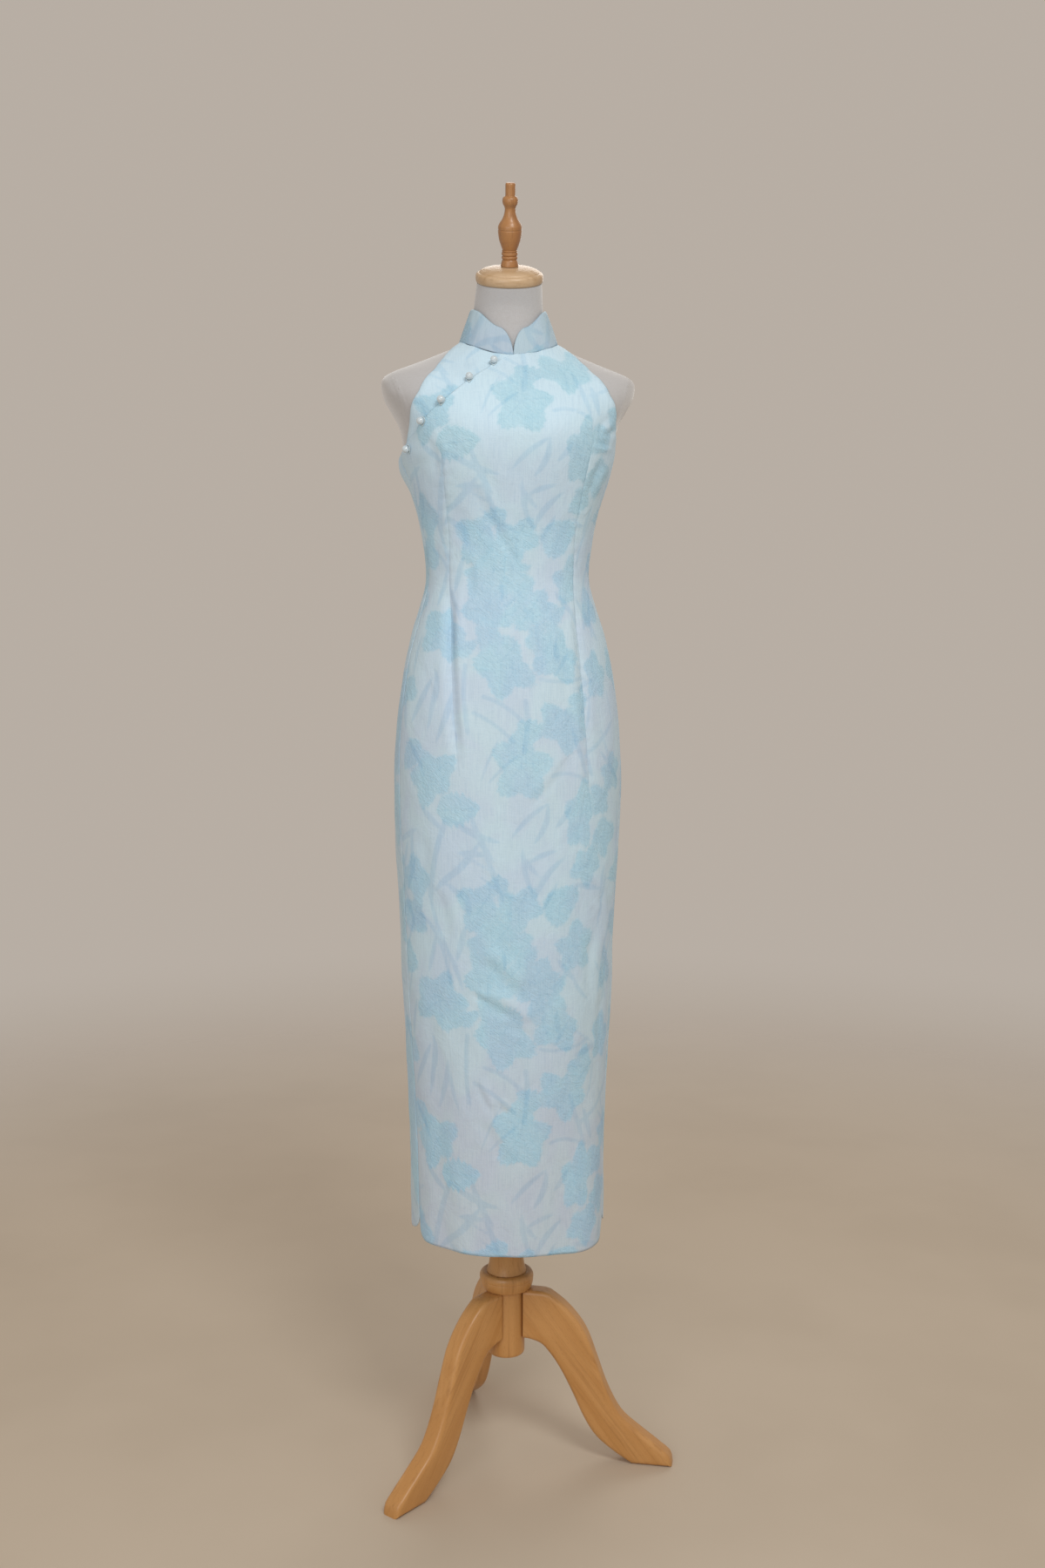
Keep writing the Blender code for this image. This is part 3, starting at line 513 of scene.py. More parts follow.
mesh = grid_mesh("form_body", FORM_COLUMNS, FORM_ROWS, form_place, form_marks)
bm = bmesh.new()
bm.from_mesh(mesh)
bmesh.ops.remove_doubles(bm, verts=bm.verts[:], dist=0.00005)
bmesh.ops.holes_fill(bm, edges=[edge for edge in bm.edges if edge.is_boundary], sides=0)
bmesh.ops.recalc_face_normals(bm, faces=bm.faces[:])
mesh_from(bm, "form_body", mesh)
form_cover = jersey("form_jersey", (0.485, 0.488, 0.505), (0.455, 0.455, 0.470))
finish("form_body", mesh, form_cover, ["form_torso"], sharp=50)

# ------------------------------------------------------------------ neck cap and finial
# A pale beech cap, turned like a shallow lid, closes the neck on its slope.  A browner
# turned finial with fine grooves is glued into its middle.

FINIAL_FOOT = 0.0218
# Measured from the middle of the neck's top, along its tilt: radius, height, rounding
CAP_PROFILE = (
    (0.0000, 0.0216, 0), (0.0130, 0.0214, 0.004), (0.0230, 0.0206, 0.004),
    (0.0320, 0.0190, 0.004), (0.0380, 0.0166, 0.002), (0.0402, 0.0152, 0.0006),
    (0.0406, 0.0139, 0.0004), (0.0432, 0.0134, 0.0012), (0.0453, 0.0112, 0.0012),
    (0.0459, 0.0070, 0.002), (0.0452, 0.0026, 0.0015), (0.0435, 0.0003, 0.0008),
    (0.0000, 0.0003, 0),
)
FINIAL_PROFILE = (
    (0.0000, 0.1067, 0), (0.0056, 0.1064, 0.001), (0.0066, 0.1050, 0.001),
    (0.0067, 0.1027, 0.001), (0.0066, 0.0898, 0.0005), (0.0086, 0.0890, 0.0010),
    (0.0101, 0.0869, 0.001), (0.0106, 0.0835, 0.002), (0.0100, 0.0800, 0.0015),
    (0.0082, 0.0772, 0.002), (0.0071, 0.0744, 0.002), (0.0073, 0.0700, 0.003),
    (0.0086, 0.0646, 0.003), (0.0108, 0.0599, 0.003), (0.0140, 0.0556, 0.002),
    (0.0158, 0.0517, 0.001), (0.0160, 0.0482, 0.0004), (0.0155, 0.0471, 0.0002),
    (0.0160, 0.0460, 0.0004), (0.0158, 0.0425, 0.003), (0.0147, 0.0347, 0.004),
    (0.0116, 0.0260, 0.003), (0.0100, 0.0220, 0.0006), (0.0094, 0.0212, 0.0003),
    (0.0106, 0.0205, 0.0004), (0.0106, 0.0197, 0.0004), (0.0094, 0.0189, 0.0003),
    (0.0109, 0.0179, 0.0006), (0.0109, 0.0149, 0.0006), (0.0095, 0.0137, 0.0003),
    (0.0108, 0.0125, 0.0005), (0.0108, 0.0105, 0.0005), (0.0095, 0.0089, 0.0003),
    (0.0103, 0.0077, 0.001), (0.0116, 0.0030, 0.002), (0.0119, 0.0000, 0.0004),
    (0.0000, 0.0000, 0),
)

neck_top = (Matrix.Translation(STAND_AXIS + Vector((0, *NECK_TOP_CENTRE)))
            @ Matrix.Rotation(NECK_TILT_TURN, 4, "Z") @ Matrix.Rotation(NECK_TILT, 4, "X"))
finial_foot = neck_top @ Matrix.Translation((0, 0, FINIAL_FOOT))
to_cap, to_finial = neck_top.inverted(), finial_foot.inverted()
cap_wood = beech("cap_beech", (0.575, 0.410, 0.255), (0.505, 0.340, 0.190), (0.36, 0.225, 0.12))
finial_wood = beech("finial_beech", (0.410, 0.196, 0.070), (0.320, 0.138, 0.044),
                    (0.190, 0.074, 0.022))
finish("cap", turned_mesh(eased(CAP_PROFILE), neck_top, 96), cap_wood,
       ["neck_cap"], sharp=50, grain=lambda co: tuple((to_cap @ co).xzy + Vector((0, 0.05, 0))))
finish("finial_top", turned_mesh(eased(FINIAL_PROFILE), finial_foot), finial_wood,
       ["finial"], sharp=50, grain=lambda co: tuple((to_finial @ co).zxy + Vector((0, 0.03, 0))))

# ------------------------------------------------------------------ dress, back
# One full-length panel of thin figured brocade, cut to the seam allowances, joined to the
# front along the side seams down to the slits.  Its armholes and slits are faced.

WALL = 0.0009                # the cloth as it really is
GAP = 0.00015
HEM_HEIGHT = 0.345
UNDERARM_HEIGHT = 1.430
SLIT_TOP = 0.600
SLIT_SPREAD = 0.0010
HEM_CORNER = 0.020
# The back's hem curls up towards the slits: how far, and over what turn
BACK_CORNER_RISE, BACK_CORNER_TURN = 0.011, math.radians(24)
HEM_DROP_TOP = 0.700         # the hem's unevenness dies out this high
HEM_CORNER_TOP = 0.06        # how far up a rounded hem corner moves the rows
HEM_TURN_UP = 0.032          # depth of the blind-stitched hem
HEM_LAYER = 0.0002           # how far its second layer makes it stand out
SLIT_FACING = 0.016
# Height and half width of the soft ridges where the hem, a slit's facing and the side
# seam's allowances end
HEM_RIDGE, FACING_RIDGE, SEAM_RIDGE = (0.00035, 0.0016), (0.00025, 0.0014), (0.0003, 0.0022)
NECK_SEAM_FRONT, NECK_SEAM_SIDE, NECK_SEAM_BACK = 1.557, 1.580, 1.590
EDGE_ROLL = 0.0030           # how far in an edge's rounding starts
EDGE_DROP = 0.0004
SLIT_FADE, HEM_FADE = 0.01, 0.002
ARMHOLE_ROLL = 0.006
ARMHOLE_RIDGE = (0.0003, 0.0028, 0.0085)     # its facing's ridge, and how far in that is
BACK_COLUMNS, BODY_ROWS, UPPER_ROWS = 132, 292, 44
PANEL_ROWS = BODY_ROWS + UPPER_ROWS
# Side seam: height, turn in degrees
SIDE_SEAM = ((0.345, 69.0), (0.984, 76.0), (1.430, 82.0))
# Cut-in armholes from the underarm to the shoulder seam: height, distance from the middle
ARMHOLE_FRONT = (
    (1.4325, 0.1443), (1.4395, 0.1430), (1.4515, 0.1416), (1.4680, 0.1400), (1.4900, 0.1366),
    (1.5080, 0.1265), (1.5330, 0.1085), (1.5450, 0.0995), (1.5570, 0.0901), (1.5670, 0.0819),
    (1.5745, 0.0748),
)
ARMHOLE_BACK = (
    (1.4312, 0.1463), (1.4370, 0.1447), (1.4445, 0.1419), (1.4540, 0.1386), (1.4690, 0.1353),
    (1.4900, 0.1349), (1.5080, 0.1300), (1.5330, 0.1130), (1.5570, 0.0940), (1.5670, 0.0855),
    (1.5745, 0.0765),
)
# Soft folds that run down to the hem: turn, half width (degrees), top, depth at the hem (one
# with a minus stands out)
FOLDS = (
    (-46, 13, 0.90, 0.0030), (-8, 12, 0.62, 0.0022), (50, 26, 0.62, -0.0090),
    (124, 15, 0.95, 0.0045), (163, 13, 0.80, 0.0030), (-158, 14, 0.90, 0.0038),
    (-117, 14, 0.85, 0.0040),
)
# Cloth that stands off the form: turn, height, half width (degrees), half height, how far
PUFFS = ((-93, 1.412, 16, 0.034, 0.0060), (95, 1.405, 14, 0.030, 0.0025))
# Creases drawn across the cloth, front (1) or back (-1): points as (distance from the middle,
# height), half width, depth, height of the ridge beside it
CREASES = (
    (1, ((-0.070, 1.405), (-0.056, 1.375), (-0.033, 1.337), (-0.001, 1.292)),
     0.0060, 0.0008, 0.0011),
    (1, ((-0.022, 1.322), (-0.010, 1.300), (0.006, 1.276)), 0.0044, 0.0009, 0.0008),
    (1, ((0.118, 1.420), (0.106, 1.396), (0.101, 1.372)), 0.0050, 0.0018, 0.0016),
    (1, ((0.134, 1.478), (0.118, 1.468), (0.106, 1.452)), 0.0040, 0.0014, 0.0016),
    (1, ((0.137, 1.462), (0.122, 1.452), (0.108, 1.454)), 0.0036, 0.0014, 0.0014),
    (1, ((0.131, 1.446), (0.118, 1.440), (0.104, 1.444)), 0.0036, 0.0014, 0.0014),
    (1, ((-0.118, 1.452), (-0.108, 1.420), (-0.104, 1.388)), 0.0055, 0.0012, 0.0012),
    (1, ((-0.074, 1.300), (-0.060, 1.270), (-0.058, 1.235)), 0.0050, 0.0007, 0.0008),
    (1, ((0.020, 1.205), (0.045, 1.182), (0.062, 1.150)), 0.0060, 0.0007, 0.0007),
    (1, ((-0.060, 0.760), (-0.030, 0.736), (0.004, 0.698)), 0.0085, 0.0016, 0.0024),
    (1, ((-0.062, 0.709), (-0.050, 0.700), (-0.036, 0.694)), 0.0036, 0.0016, 0.0012),
    (1, ((-0.058, 0.700), (-0.024, 0.682), (0.018, 0.652)), 0.0080, 0.0018, 0.0030),
    (1, ((-0.032, 0.668), (-0.008, 0.660), (0.020, 0.646)), 0.0042, 0.0008, 0.0011),
    (1, ((-0.058, 0.592), (-0.050, 0.570), (-0.034, 0.540)), 0.0042, 0.0013, 0.0013),
    (1, ((-0.032, 0.560), (-0.020, 0.548), (-0.006, 0.540)), 0.0040, 0.0013, 0.0014),
    (1, ((-0.060, 0.540), (-0.034, 0.505), (-0.016, 0.462)), 0.0075, 0.0010, 0.0014),
    (1, ((-0.118, 0.688), (-0.112, 0.640), (-0.116, 0.582)), 0.0080, 0.0012, 0.0012),
    (1, ((-0.104, 0.560), (-0.108, 0.500), (-0.102, 0.440)), 0.0080, 0.0010, 0.0012),
    (1, ((0.110, 0.800), (0.100, 0.735), (0.104, 0.660)), 0.0065, 0.0013, 0.0013),
    (1, ((0.122, 0.705), (0.118, 0.655), (0.121, 0.600)), 0.0050, 0.0012, 0.0011),
    (1, ((0.094, 0.862), (0.112, 0.842), (0.126, 0.812)), 0.0038, 0.0010, 0.0011),
    (1, ((0.100, 0.826), (0.116, 0.800), (0.128, 0.776)), 0.0038, 0.0009, 0.0010),
    (1, ((0.096, 0.632), (0.110, 0.612), (0.122, 0.584)), 0.0040, 0.0009, 0.0010),
    (1, ((-0.128, 0.930), (-0.122, 0.880), (-0.126, 0.820)), 0.0080, 0.0012, 0.0010),
    (1, ((-0.112, 0.860), (-0.096, 0.800), (-0.104, 0.740)), 0.0060, 0.0008, 0.0009),
    (1, ((0.010, 0.955), (0.042, 0.985), (0.082, 1.034)), 0.0055, 0.0007, 0.0009),
    (-1, ((-0.104, 1.392), (-0.070, 1.352), (-0.030, 1.330)), 0.0085, 0.0018, 0.0018),
    (-1, ((0.108, 1.400), (0.078, 1.360), (0.036, 1.334)), 0.0080, 0.0016, 0.0016),
    (-1, ((-0.085, 1.306), (-0.040, 1.292), (0.012, 1.300)), 0.0075, 0.0016, 0.0017),
    (-1, ((0.086, 1.282), (0.046, 1.270), (-0.004, 1.278)), 0.0070, 0.0016, 0.0016),
    (-1, ((-0.074, 1.252), (-0.030, 1.246), (0.030, 1.254)), 0.0065, 0.0014, 0.0013),
    (-1, ((0.118, 0.905), (0.070, 0.862), (0.018, 0.850)), 0.0085, 0.0014, 0.0016),
    (-1, ((-0.120, 0.880), (-0.078, 0.836), (-0.030, 0.830)), 0.0085, 0.0015, 0.0016),
    (-1, ((0.072, 0.690), (0.030, 0.640), (-0.020, 0.612)), 0.0080, 0.0016, 0.0018),
    (-1, ((-0.084, 0.640), (-0.040, 0.585), (-0.006, 0.520)), 0.0075, 0.0015, 0.0016),
)
# Darts taken in from the inside: side, seam as (distance from the middle, height), depth of
# the hollow and height of the ridges beside it, how much pattern it swallows at the waist
DARTS = (
    (1, ((-0.1000, 1.440), (-0.0955, 1.395), (-0.0903, 1.349), (-0.0856, 1.315), (-0.0851, 1.252),
         (-0.0865, 1.165), (-0.0817, 1.053), (-0.0765, 1.000)), 0.0054, 0.0028, 0.020),
    (1, ((0.1010, 1.445), (0.0868, 1.365), (0.0817, 1.315), (0.0813, 1.252), (0.0900, 1.135),
         (0.0976, 1.009), (0.1010, 0.950)), 0.0018, 0.0012, 0.030),
    (-1, ((-0.0700, 1.420), (-0.0640, 1.340), (-0.0610, 1.262), (-0.0660, 1.160),
          (-0.0720, 1.060)), 0.0018, 0.0016, 0.022),
    (-1, ((0.0700, 1.420), (0.0640, 1.340), (0.0610, 1.262), (0.0660, 1.160),
          (0.0720, 1.060)), 0.0018, 0.0012, 0.022),
)
DART_GROOVE = (0.0016, 0.0004)       # half width and depth of a dart's stitched line
DART_POINTS = 24
DART_FADE, CREASE_FADE = 0.06, 0.30  # share of its length over which each end dies out
RIDGE_WIDTH, RIDGE_OFF = 1.3, 2.1    # a crease's ridge, against the crease's half width
# Below the waist the cloth sinks along a dart, sharply at first, then wide and soft.  In
# shares of the dart: start of the hollow, lengths in which it comes and goes, start and length
# of its softening
HOLLOW_START, HOLLOW_IN, HOLLOW_OUT = 0.42, 0.12, 0.16
SOFT_START, SOFT_IN = 0.60, 0.22
HOLLOW_HALF = (0.0052, 0.0068)       # half width where sharp and where soft
HOLLOW_EASED = 0.35                  # how much shallower it is where soft
HOLLOW_RIDGE = (0.0066, 0.0115)      # half width of the ridges beside it, and their distance
OUTER_RIDGE = 0.4                    # height of the outer ridge, against the inner
# Columns of a panel that its two darts run down, how far off the others make room for them,
# and how much the nearest close up
DART_COLUMNS, DART_REACH, DART_CROWDING, DART_CROWD_HALF = (0.25, 0.75), 0.42, 0.45, 0.09
PUCKER_LENGTH, PUCKER_HEIGHT = 0.0150, 0.00030       # ripples beside a seam
DART_PUCKER, SIDE_PUCKER = 0.009, 0.010              # how far from it they reach
# Slow unevenness that any hung cloth has: waves round, waves up, start, height
UNEVEN = (
    (3.0, 1.7, 0.4, 0.00055), (5.0, 3.1, 2.1, 0.00040), (8.0, -4.3, 4.0, 0.00030),
    (13.0, 7.7, 1.2, 0.00022), (21.0, -11.0, 5.2, 0.00015), (17.0, 19.0, 3.3, 0.00015),
)
UNEVEN_UP, UNEVEN_DRIFT, UNEVEN_DRIFT_UP = 5.0, 0.8, 7.0

seam_turn = steady_curve([row[0] for row in SIDE_SEAM],
                         [math.radians(row[1]) for row in SIDE_SEAM])


def towards_hem(height, top):
    """0 above a height, and 1 at the hem."""
    return smooth_step((top - height) / (top - HEM_HEIGHT))


def turn_at(height, across, behind=False):
    """The turn at which the skin lies a distance to the side of the middle."""
    height, across = np.asarray(height, float), np.asarray(across, float)
    depth = back_depth(height) if behind else front_depth(height)
    share = np.minimum(np.abs(across) / half_width(height), 1.0)
    power = fullness(height)
    along = depth * (1 - share ** power) ** (1 / power)
    turn = np.arctan2(share * half_width(height), -along if behind else along)
    return np.copysign(turn, across)


def from_line(x, z, line):
    """Signed distance from a drawn line, share of the way along it, and its length."""
    line = np.array(line, float)
    lengths = np.linalg.norm(np.diff(line, axis=0), axis=1)
    best = np.full(x.shape, 9.0)
    signed, along = best.copy(), np.zeros(x.shape)
    for i, (a, b) in enumerate(zip(line, line[1:])):
        run = b - a
        share = np.clip(((x - a[0]) * run[0] + (z - a[1]) * run[1]) / run.dot(run), 0, 1)
        dx, dz = x - a[0] - share * run[0], z - a[1] - share * run[1]
        off = np.hypot(dx, dz)
        side = np.sign(run[0] * dz - run[1] * dx)
        near = off < best
        best = np.where(near, off, best)
        signed = np.where(near, np.where(side == 0, 1, side) * off, signed)
        along = np.where(near, (lengths[:i].sum() + share * lengths[i]) / lengths.sum(), along)
    return signed, along, lengths.sum()


def fine_line(line, count=14):
    """A drawn line rounded through its points."""
    return list(zip(*path_through(line)(np.linspace(0, 1, count))))


darts = [(side, fine_line(line, DART_POINTS), *sizes) for side, line, *sizes in DARTS]


def dart_at(line, height):
    """How far from the middle a dart runs at a height."""
    x, z = np.array(line).T
    order = np.argsort(z)
    return np.interp(height, z[order], x[order])


def faded(along, share):
    """1 along a line, and down to 0 at its ends."""
    return smooth_step(along / share) * smooth_step((1 - along) / share)


def relief(turn, height):
    """How far the cloth stands out from the figure, with its folds, darts and creases."""
    place = on_figure(turn, height)
    x, z, front = place[:, 0], place[:, 2], np.where(place[:, 1] < 0, 1, -1)
    out = np.zeros(len(x))
    for middle, half, top, depth in FOLDS:
        off = np.abs(wrapped(turn - math.radians(middle)))
        out -= depth * towards_hem(height, top) * smooth_step(1 - off / math.radians(half))
    for middle, level, half, half_height, far in PUFFS:
        off = np.hypot(wrapped(turn - math.radians(middle)) / math.radians(half),
                       (height - level) / half_height)
        out += far * smooth_step(1 - off)
    for side, line, half, depth, ridge in CREASES:
        near = front == side
        off, along, _ = from_line(x[near], z[near], fine_line(line))
        out[near] += faded(along, CREASE_FADE) * (
            ridge * bulge(off, RIDGE_WIDTH * half, RIDGE_OFF * half) - depth * bulge(off, half))
    for side, line, hollow, ridge, _ in darts:
        near = front == side
        off, along, length = from_line(x[near], z[near], line)
        half, depth = DART_GROOVE
        ripple = np.sin(along * length / PUCKER_LENGTH * math.tau + 2 * np.sin(along * 9))
        out[near] -= faded(along, DART_FADE) * (
            depth * bulge(off, half) + PUCKER_HEIGHT * ripple * bulge(off, DART_PUCKER))
        low = (smooth_step((along - HOLLOW_START) / HOLLOW_IN)
               * smooth_step((1 - along) / HOLLOW_OUT))
        soft = smooth_step((along - SOFT_START) / SOFT_IN)
        inner = np.where(off * np.sign(line[0][0]) < 0, 1.0, OUTER_RIDGE)
        out[near] += low * (ridge * inner * bulge(np.abs(off), *HOLLOW_RIDGE)
                            - hollow * (1 - HOLLOW_EASED * soft)
                            * bulge(off, blend(*HOLLOW_HALF, soft)))
    for round_count, up_count, start, far in UNEVEN:
        drift = UNEVEN_DRIFT * np.sin(height * UNEVEN_DRIFT_UP + start)
        out += far * np.sin(round_count * wrapped(turn) + up_count * height * UNEVEN_UP + start
                            + drift)
    return out


def neck_seam_height(turn):
    along = np.cos(turn)
    return blend(NECK_SEAM_SIDE, np.where(along > 0, NECK_SEAM_FRONT, NECK_SEAM_BACK),
                 along * along)


def neck_edge(first, last):
    return lambda u: (blend(first, last, u), neck_seam_height(blend(first, last, u)))


def level_edge(first, last, height=UNDERARM_HEIGHT):
    return lambda u: (blend(first, last, u), height + 0 * u)


def edge_path(table, first, last, behind=False, side=1):
    """A cut edge from a table of heights and distances, between two (turn, height) ends."""
    points = [(float(turn_at(height, side * across, behind)), height) for height, across in table]
    points = [first] + points + [last]
    turns, heights = np.array(points).T
    return path_through(points, on_figure(turns, heights))


def patch(bottom, top, left, right):
    """A sheet of (turn, height) points between four edges that meet at their corners."""
    def place(u, v):
        out = []
        for axis in (0, 1):
            b, t, l, r = bottom(u)[axis], top(u)[axis], left(v)[axis], right(v)[axis]
            b0, b1, t0, t1 = (float(edge(end)[axis]) for edge in (bottom, top)
                              for end in (0.0, 1.0))
            out.append(blend(b, t, v) + blend(l, r, u)
                       - blend(blend(b0, b1, u), blend(t0, t1, u), v))
        return out
    return place


def seam_inset(height):
    """Half the gap between front and back at a side seam, as a turn."""
    open_share = np.maximum(0.0, (SLIT_TOP - height) / (SLIT_TOP - HEM_HEIGHT))
    return (GAP / 2 + SLIT_SPREAD / 2 * open_share ** 2) / half_width(height)


def spread(u, crowding=0.12):
    """Columns a little closer together near both edges of a panel."""
    s = 2 * u - 1
    return (1 + s * (1 + crowding - crowding * s * s)) / 2


def along_darts(s, level, middle, half_turn, columns):
    """The columns of a panel moved so that one runs down each dart, its neighbours close by."""
    behind = middle > 0
    moved = s.copy()
    for side, line, *_ in darts:
        if behind != (side < 0):
            continue
        here = wrapped(turn_at(level, dart_at(line, level), behind) - middle) / half_turn
        column = round(columns * DART_COLUMNS[float(here.mean()) >= 0])
        home = 2 * spread(column / columns) - 1
        off = s - home
        moved += (here - home) * smooth_step(1 - np.abs(off) / DART_REACH)
        moved -= DART_CROWDING * off * bulge(off, DART_CROWD_HALF)
    return moved


def panel(middle, columns, upper, trim_first, trim_last):
    """A full-length panel: rows round the body, then a cut shape up to the neck seam."""
    body_share = BODY_ROWS / PANEL_ROWS

    def place(u, v):
        share = np.minimum(v / body_share, 1.0)
        level = blend(HEM_HEIGHT, UNDERARM_HEIGHT, share)
        half_turn = np.abs(middle - seam_turn(level)) - seam_inset(level)
        s = along_darts(2 * spread(u) - 1, level, middle, half_turn, columns)
        inside = np.clip((1 - np.abs(s)) * half_turn * half_width(level) / HEM_CORNER, 0, 1)
        corner = HEM_CORNER * (1 - np.sqrt(1 - (1 - inside) ** 2))
        low_height = level + corner * np.maximum(0.0, 1 - (level - HEM_HEIGHT) / HEM_CORNER_TOP)
        low_turn = middle + s * half_turn
        share = np.clip((v - body_share) / (1 - body_share), 0, 1)
        turn, height = upper((1 + s) / 2, share)
        turn = turn + blend(trim_first, trim_last, u)
        low = v <= body_share
        return np.where(low, low_turn, turn), np.where(low, low_height, height)

    return place


def edge_distances(points, columns, rows):
    """Each point's distance along the cloth from the panel's first and last side, and hem."""
    grid = points.reshape(rows + 1, columns + 1, 3)

    def run(axis):
        steps = np.linalg.norm(np.diff(grid, axis=axis), axis=2)
        start = np.zeros_like(np.take(steps, [0], axis=axis))
        return np.concatenate((start, np.cumsum(steps, axis=axis)), axis=axis)

    across = run(1)
    return [values.ravel() for values in (across, across[:, -1:] - across, run(0))]


def rolled(near, width):
    """How far a soft edge has turned down: 1 at the edge, 0 from a width in."""
    return np.clip(1 - near / width, 0, 1) ** 2


def hang(turn, height, columns, rows, has_hem=True, lift=0.0):
    """The outer face of a panel: figure, folds, turned-up hem and the slits' facings."""
    normal = skin_normal(turn, height)
    points = on_figure(turn, height) + normal * (relief(turn, height) + lift)[:, None]
    if not has_hem:
        return points
    first, last, low = edge_distances(points, columns, rows)
    drop = EDGE_DROP * rolled(low, EDGE_ROLL)
    drop -= HEM_RIDGE[0] * bulge(low, HEM_RIDGE[1], HEM_TURN_UP)
    drop -= HEM_LAYER * smooth_step((HEM_TURN_UP - low) / HEM_FADE)
    below_slit = smooth_step((SLIT_TOP - height) / SLIT_FADE)
    # above the slit the side seam draws the cloth into small ripples
    ripple = PUCKER_HEIGHT * np.sin(height / PUCKER_LENGTH * math.tau + 2.4 * np.sin(height * 23))
    for side in (first, last):
        facing = FACING_RIDGE[0] * bulge(side, FACING_RIDGE[1], SLIT_FACING)
        drop = (np.maximum(drop, EDGE_DROP * rolled(side, EDGE_ROLL) * below_slit)
                - facing * below_slit)
        drop += (SEAM_RIDGE[0] * bulge(side, SEAM_RIDGE[1])
                 + ripple * bulge(side, SIDE_PUCKER)) * (1 - below_slit)
    return points - normal * drop[:, None]


def faced(points, turn, height, *edges):
    """Lay faced armhole edges down on the form, with a soft ridge where their facing ends."""
    near = np.full(len(turn), 1.0)
    high = height > UNDERARM_HEIGHT - 0.02
    place = on_figure(turn[high], height[high])
    for edge in edges:
        line = on_figure(*edge(np.linspace(0, 1, 500)))
        off = np.linalg.norm(place[:, None] - line, axis=2).min(axis=1)
        near[high] = np.minimum(near[high], off)
    far = np.maximum(form_ease(height) - 0.0002, 0.0004)
    ridge, half, inset = ARMHOLE_RIDGE
    drop = far * rolled(near, ARMHOLE_ROLL) - ridge * bulge(near, half, inset)
    return points - skin_normal(turn, height) * drop[:, None]


# --- the woven figure.  The cloth repeats in both directions; every motif is drawn by rule.
REPEAT_ROUND, REPEAT_UP = 0.398, 0.503
FIGURE_START = 0.560         # height of the repeat's lower edge on the front
HIP_HEIGHT = 1.023
# Lobed leaves and blossoms: place round, place up, reach, stretch along, turn (degrees),
# lobes, tone (0 aqua, 1 blue)
BLOSSOMS = (
    (-0.002, 0.454, 0.046, 0.95, 84, 5, 0.15), (-0.128, 0.438, 0.039, 0.95, 110, 5, 0.55),
    (0.082, 0.386, 0.046, 0.58, 86, 5, 0.35), (0.126, 0.354, 0.030, 0.85, 100, 4, 0.75),
    (0.093, 0.318, 0.029, 0.95, 60, 5, 0.35), (0.148, 0.440, 0.027, 1.00, 20, 5, 0.90),
    (-0.058, 0.262, 0.036, 0.90, 150, 4, 0.60), (-0.008, 0.262, 0.034, 1.00, 60, 5, 0.40),
    (-0.034, 0.222, 0.050, 0.60, 4, 6, 0.45), (-0.014, 0.205, 0.027, 0.90, 30, 4, 0.30),
    (0.052, 0.267, 0.031, 0.90, 22, 3, 0.55), (0.076, 0.207, 0.034, 0.95, 95, 5, 0.40),
    (-0.118, 0.134, 0.044, 0.92, 70, 5, 0.60), (-0.047, 0.170, 0.042, 0.85, 120, 5, 0.35),
    (0.012, 0.164, 0.048, 0.66, 8, 6, 0.25), (-0.028, 0.094, 0.052, 0.80, 118, 5, 0.25),
    (0.045, 0.102, 0.042, 0.82, 150, 5, 0.45), (0.058, 0.004, 0.038, 0.95, 130, 5, 0.20),
    (0.088, 0.038, 0.028, 0.85, 80, 4, 0.60), (0.137, 0.168, 0.032, 0.50, 92, 3, 1.00),
    (0.130, 0.074, 0.033, 0.68, 84, 5, 0.90), (-0.160, 0.298, 0.036, 0.75, 95, 4, 0.90),
    (-0.188, 0.180, 0.034, 0.75, 75, 4, 0.70), (0.182, 0.300, 0.038, 0.85, 40, 5, 0.60),
    (0.186, 0.085, 0.036, 0.85, 130, 5, 0.55), (-0.184, 0.052, 0.026, 0.90, 60, 4, 0.70),
    (0.022, 0.124, 0.024, 0.85, 100, 4, 0.50), (-0.080, 0.112, 0.020, 0.80, 30, 4, 0.65),
    (-0.002, 0.188, 0.030, 0.85, 45, 4, 0.35), (0.118, 0.404, 0.023, 0.90, 40, 4, 1.00),
    (-0.165, 0.246, 0.031, 0.85, 60, 4, 0.85),
)
# Single leaves with toothed edges: foot round, foot up, length, half width, turn, tone
LEAVES = (
    (-0.117, 0.393, 0.060, 0.023, 6, 0.10), (0.026, 0.494, 0.040, 0.015, 150, 0.45),
    (-0.150, 0.486, 0.050, 0.019, 235, 0.60), (0.150, 0.246, 0.048, 0.017, 305, 0.85),
    (-0.020, 0.300, 0.040, 0.013, 200, 0.50), (0.020, 0.140, 0.052, 0.016, 35, 0.35),
)
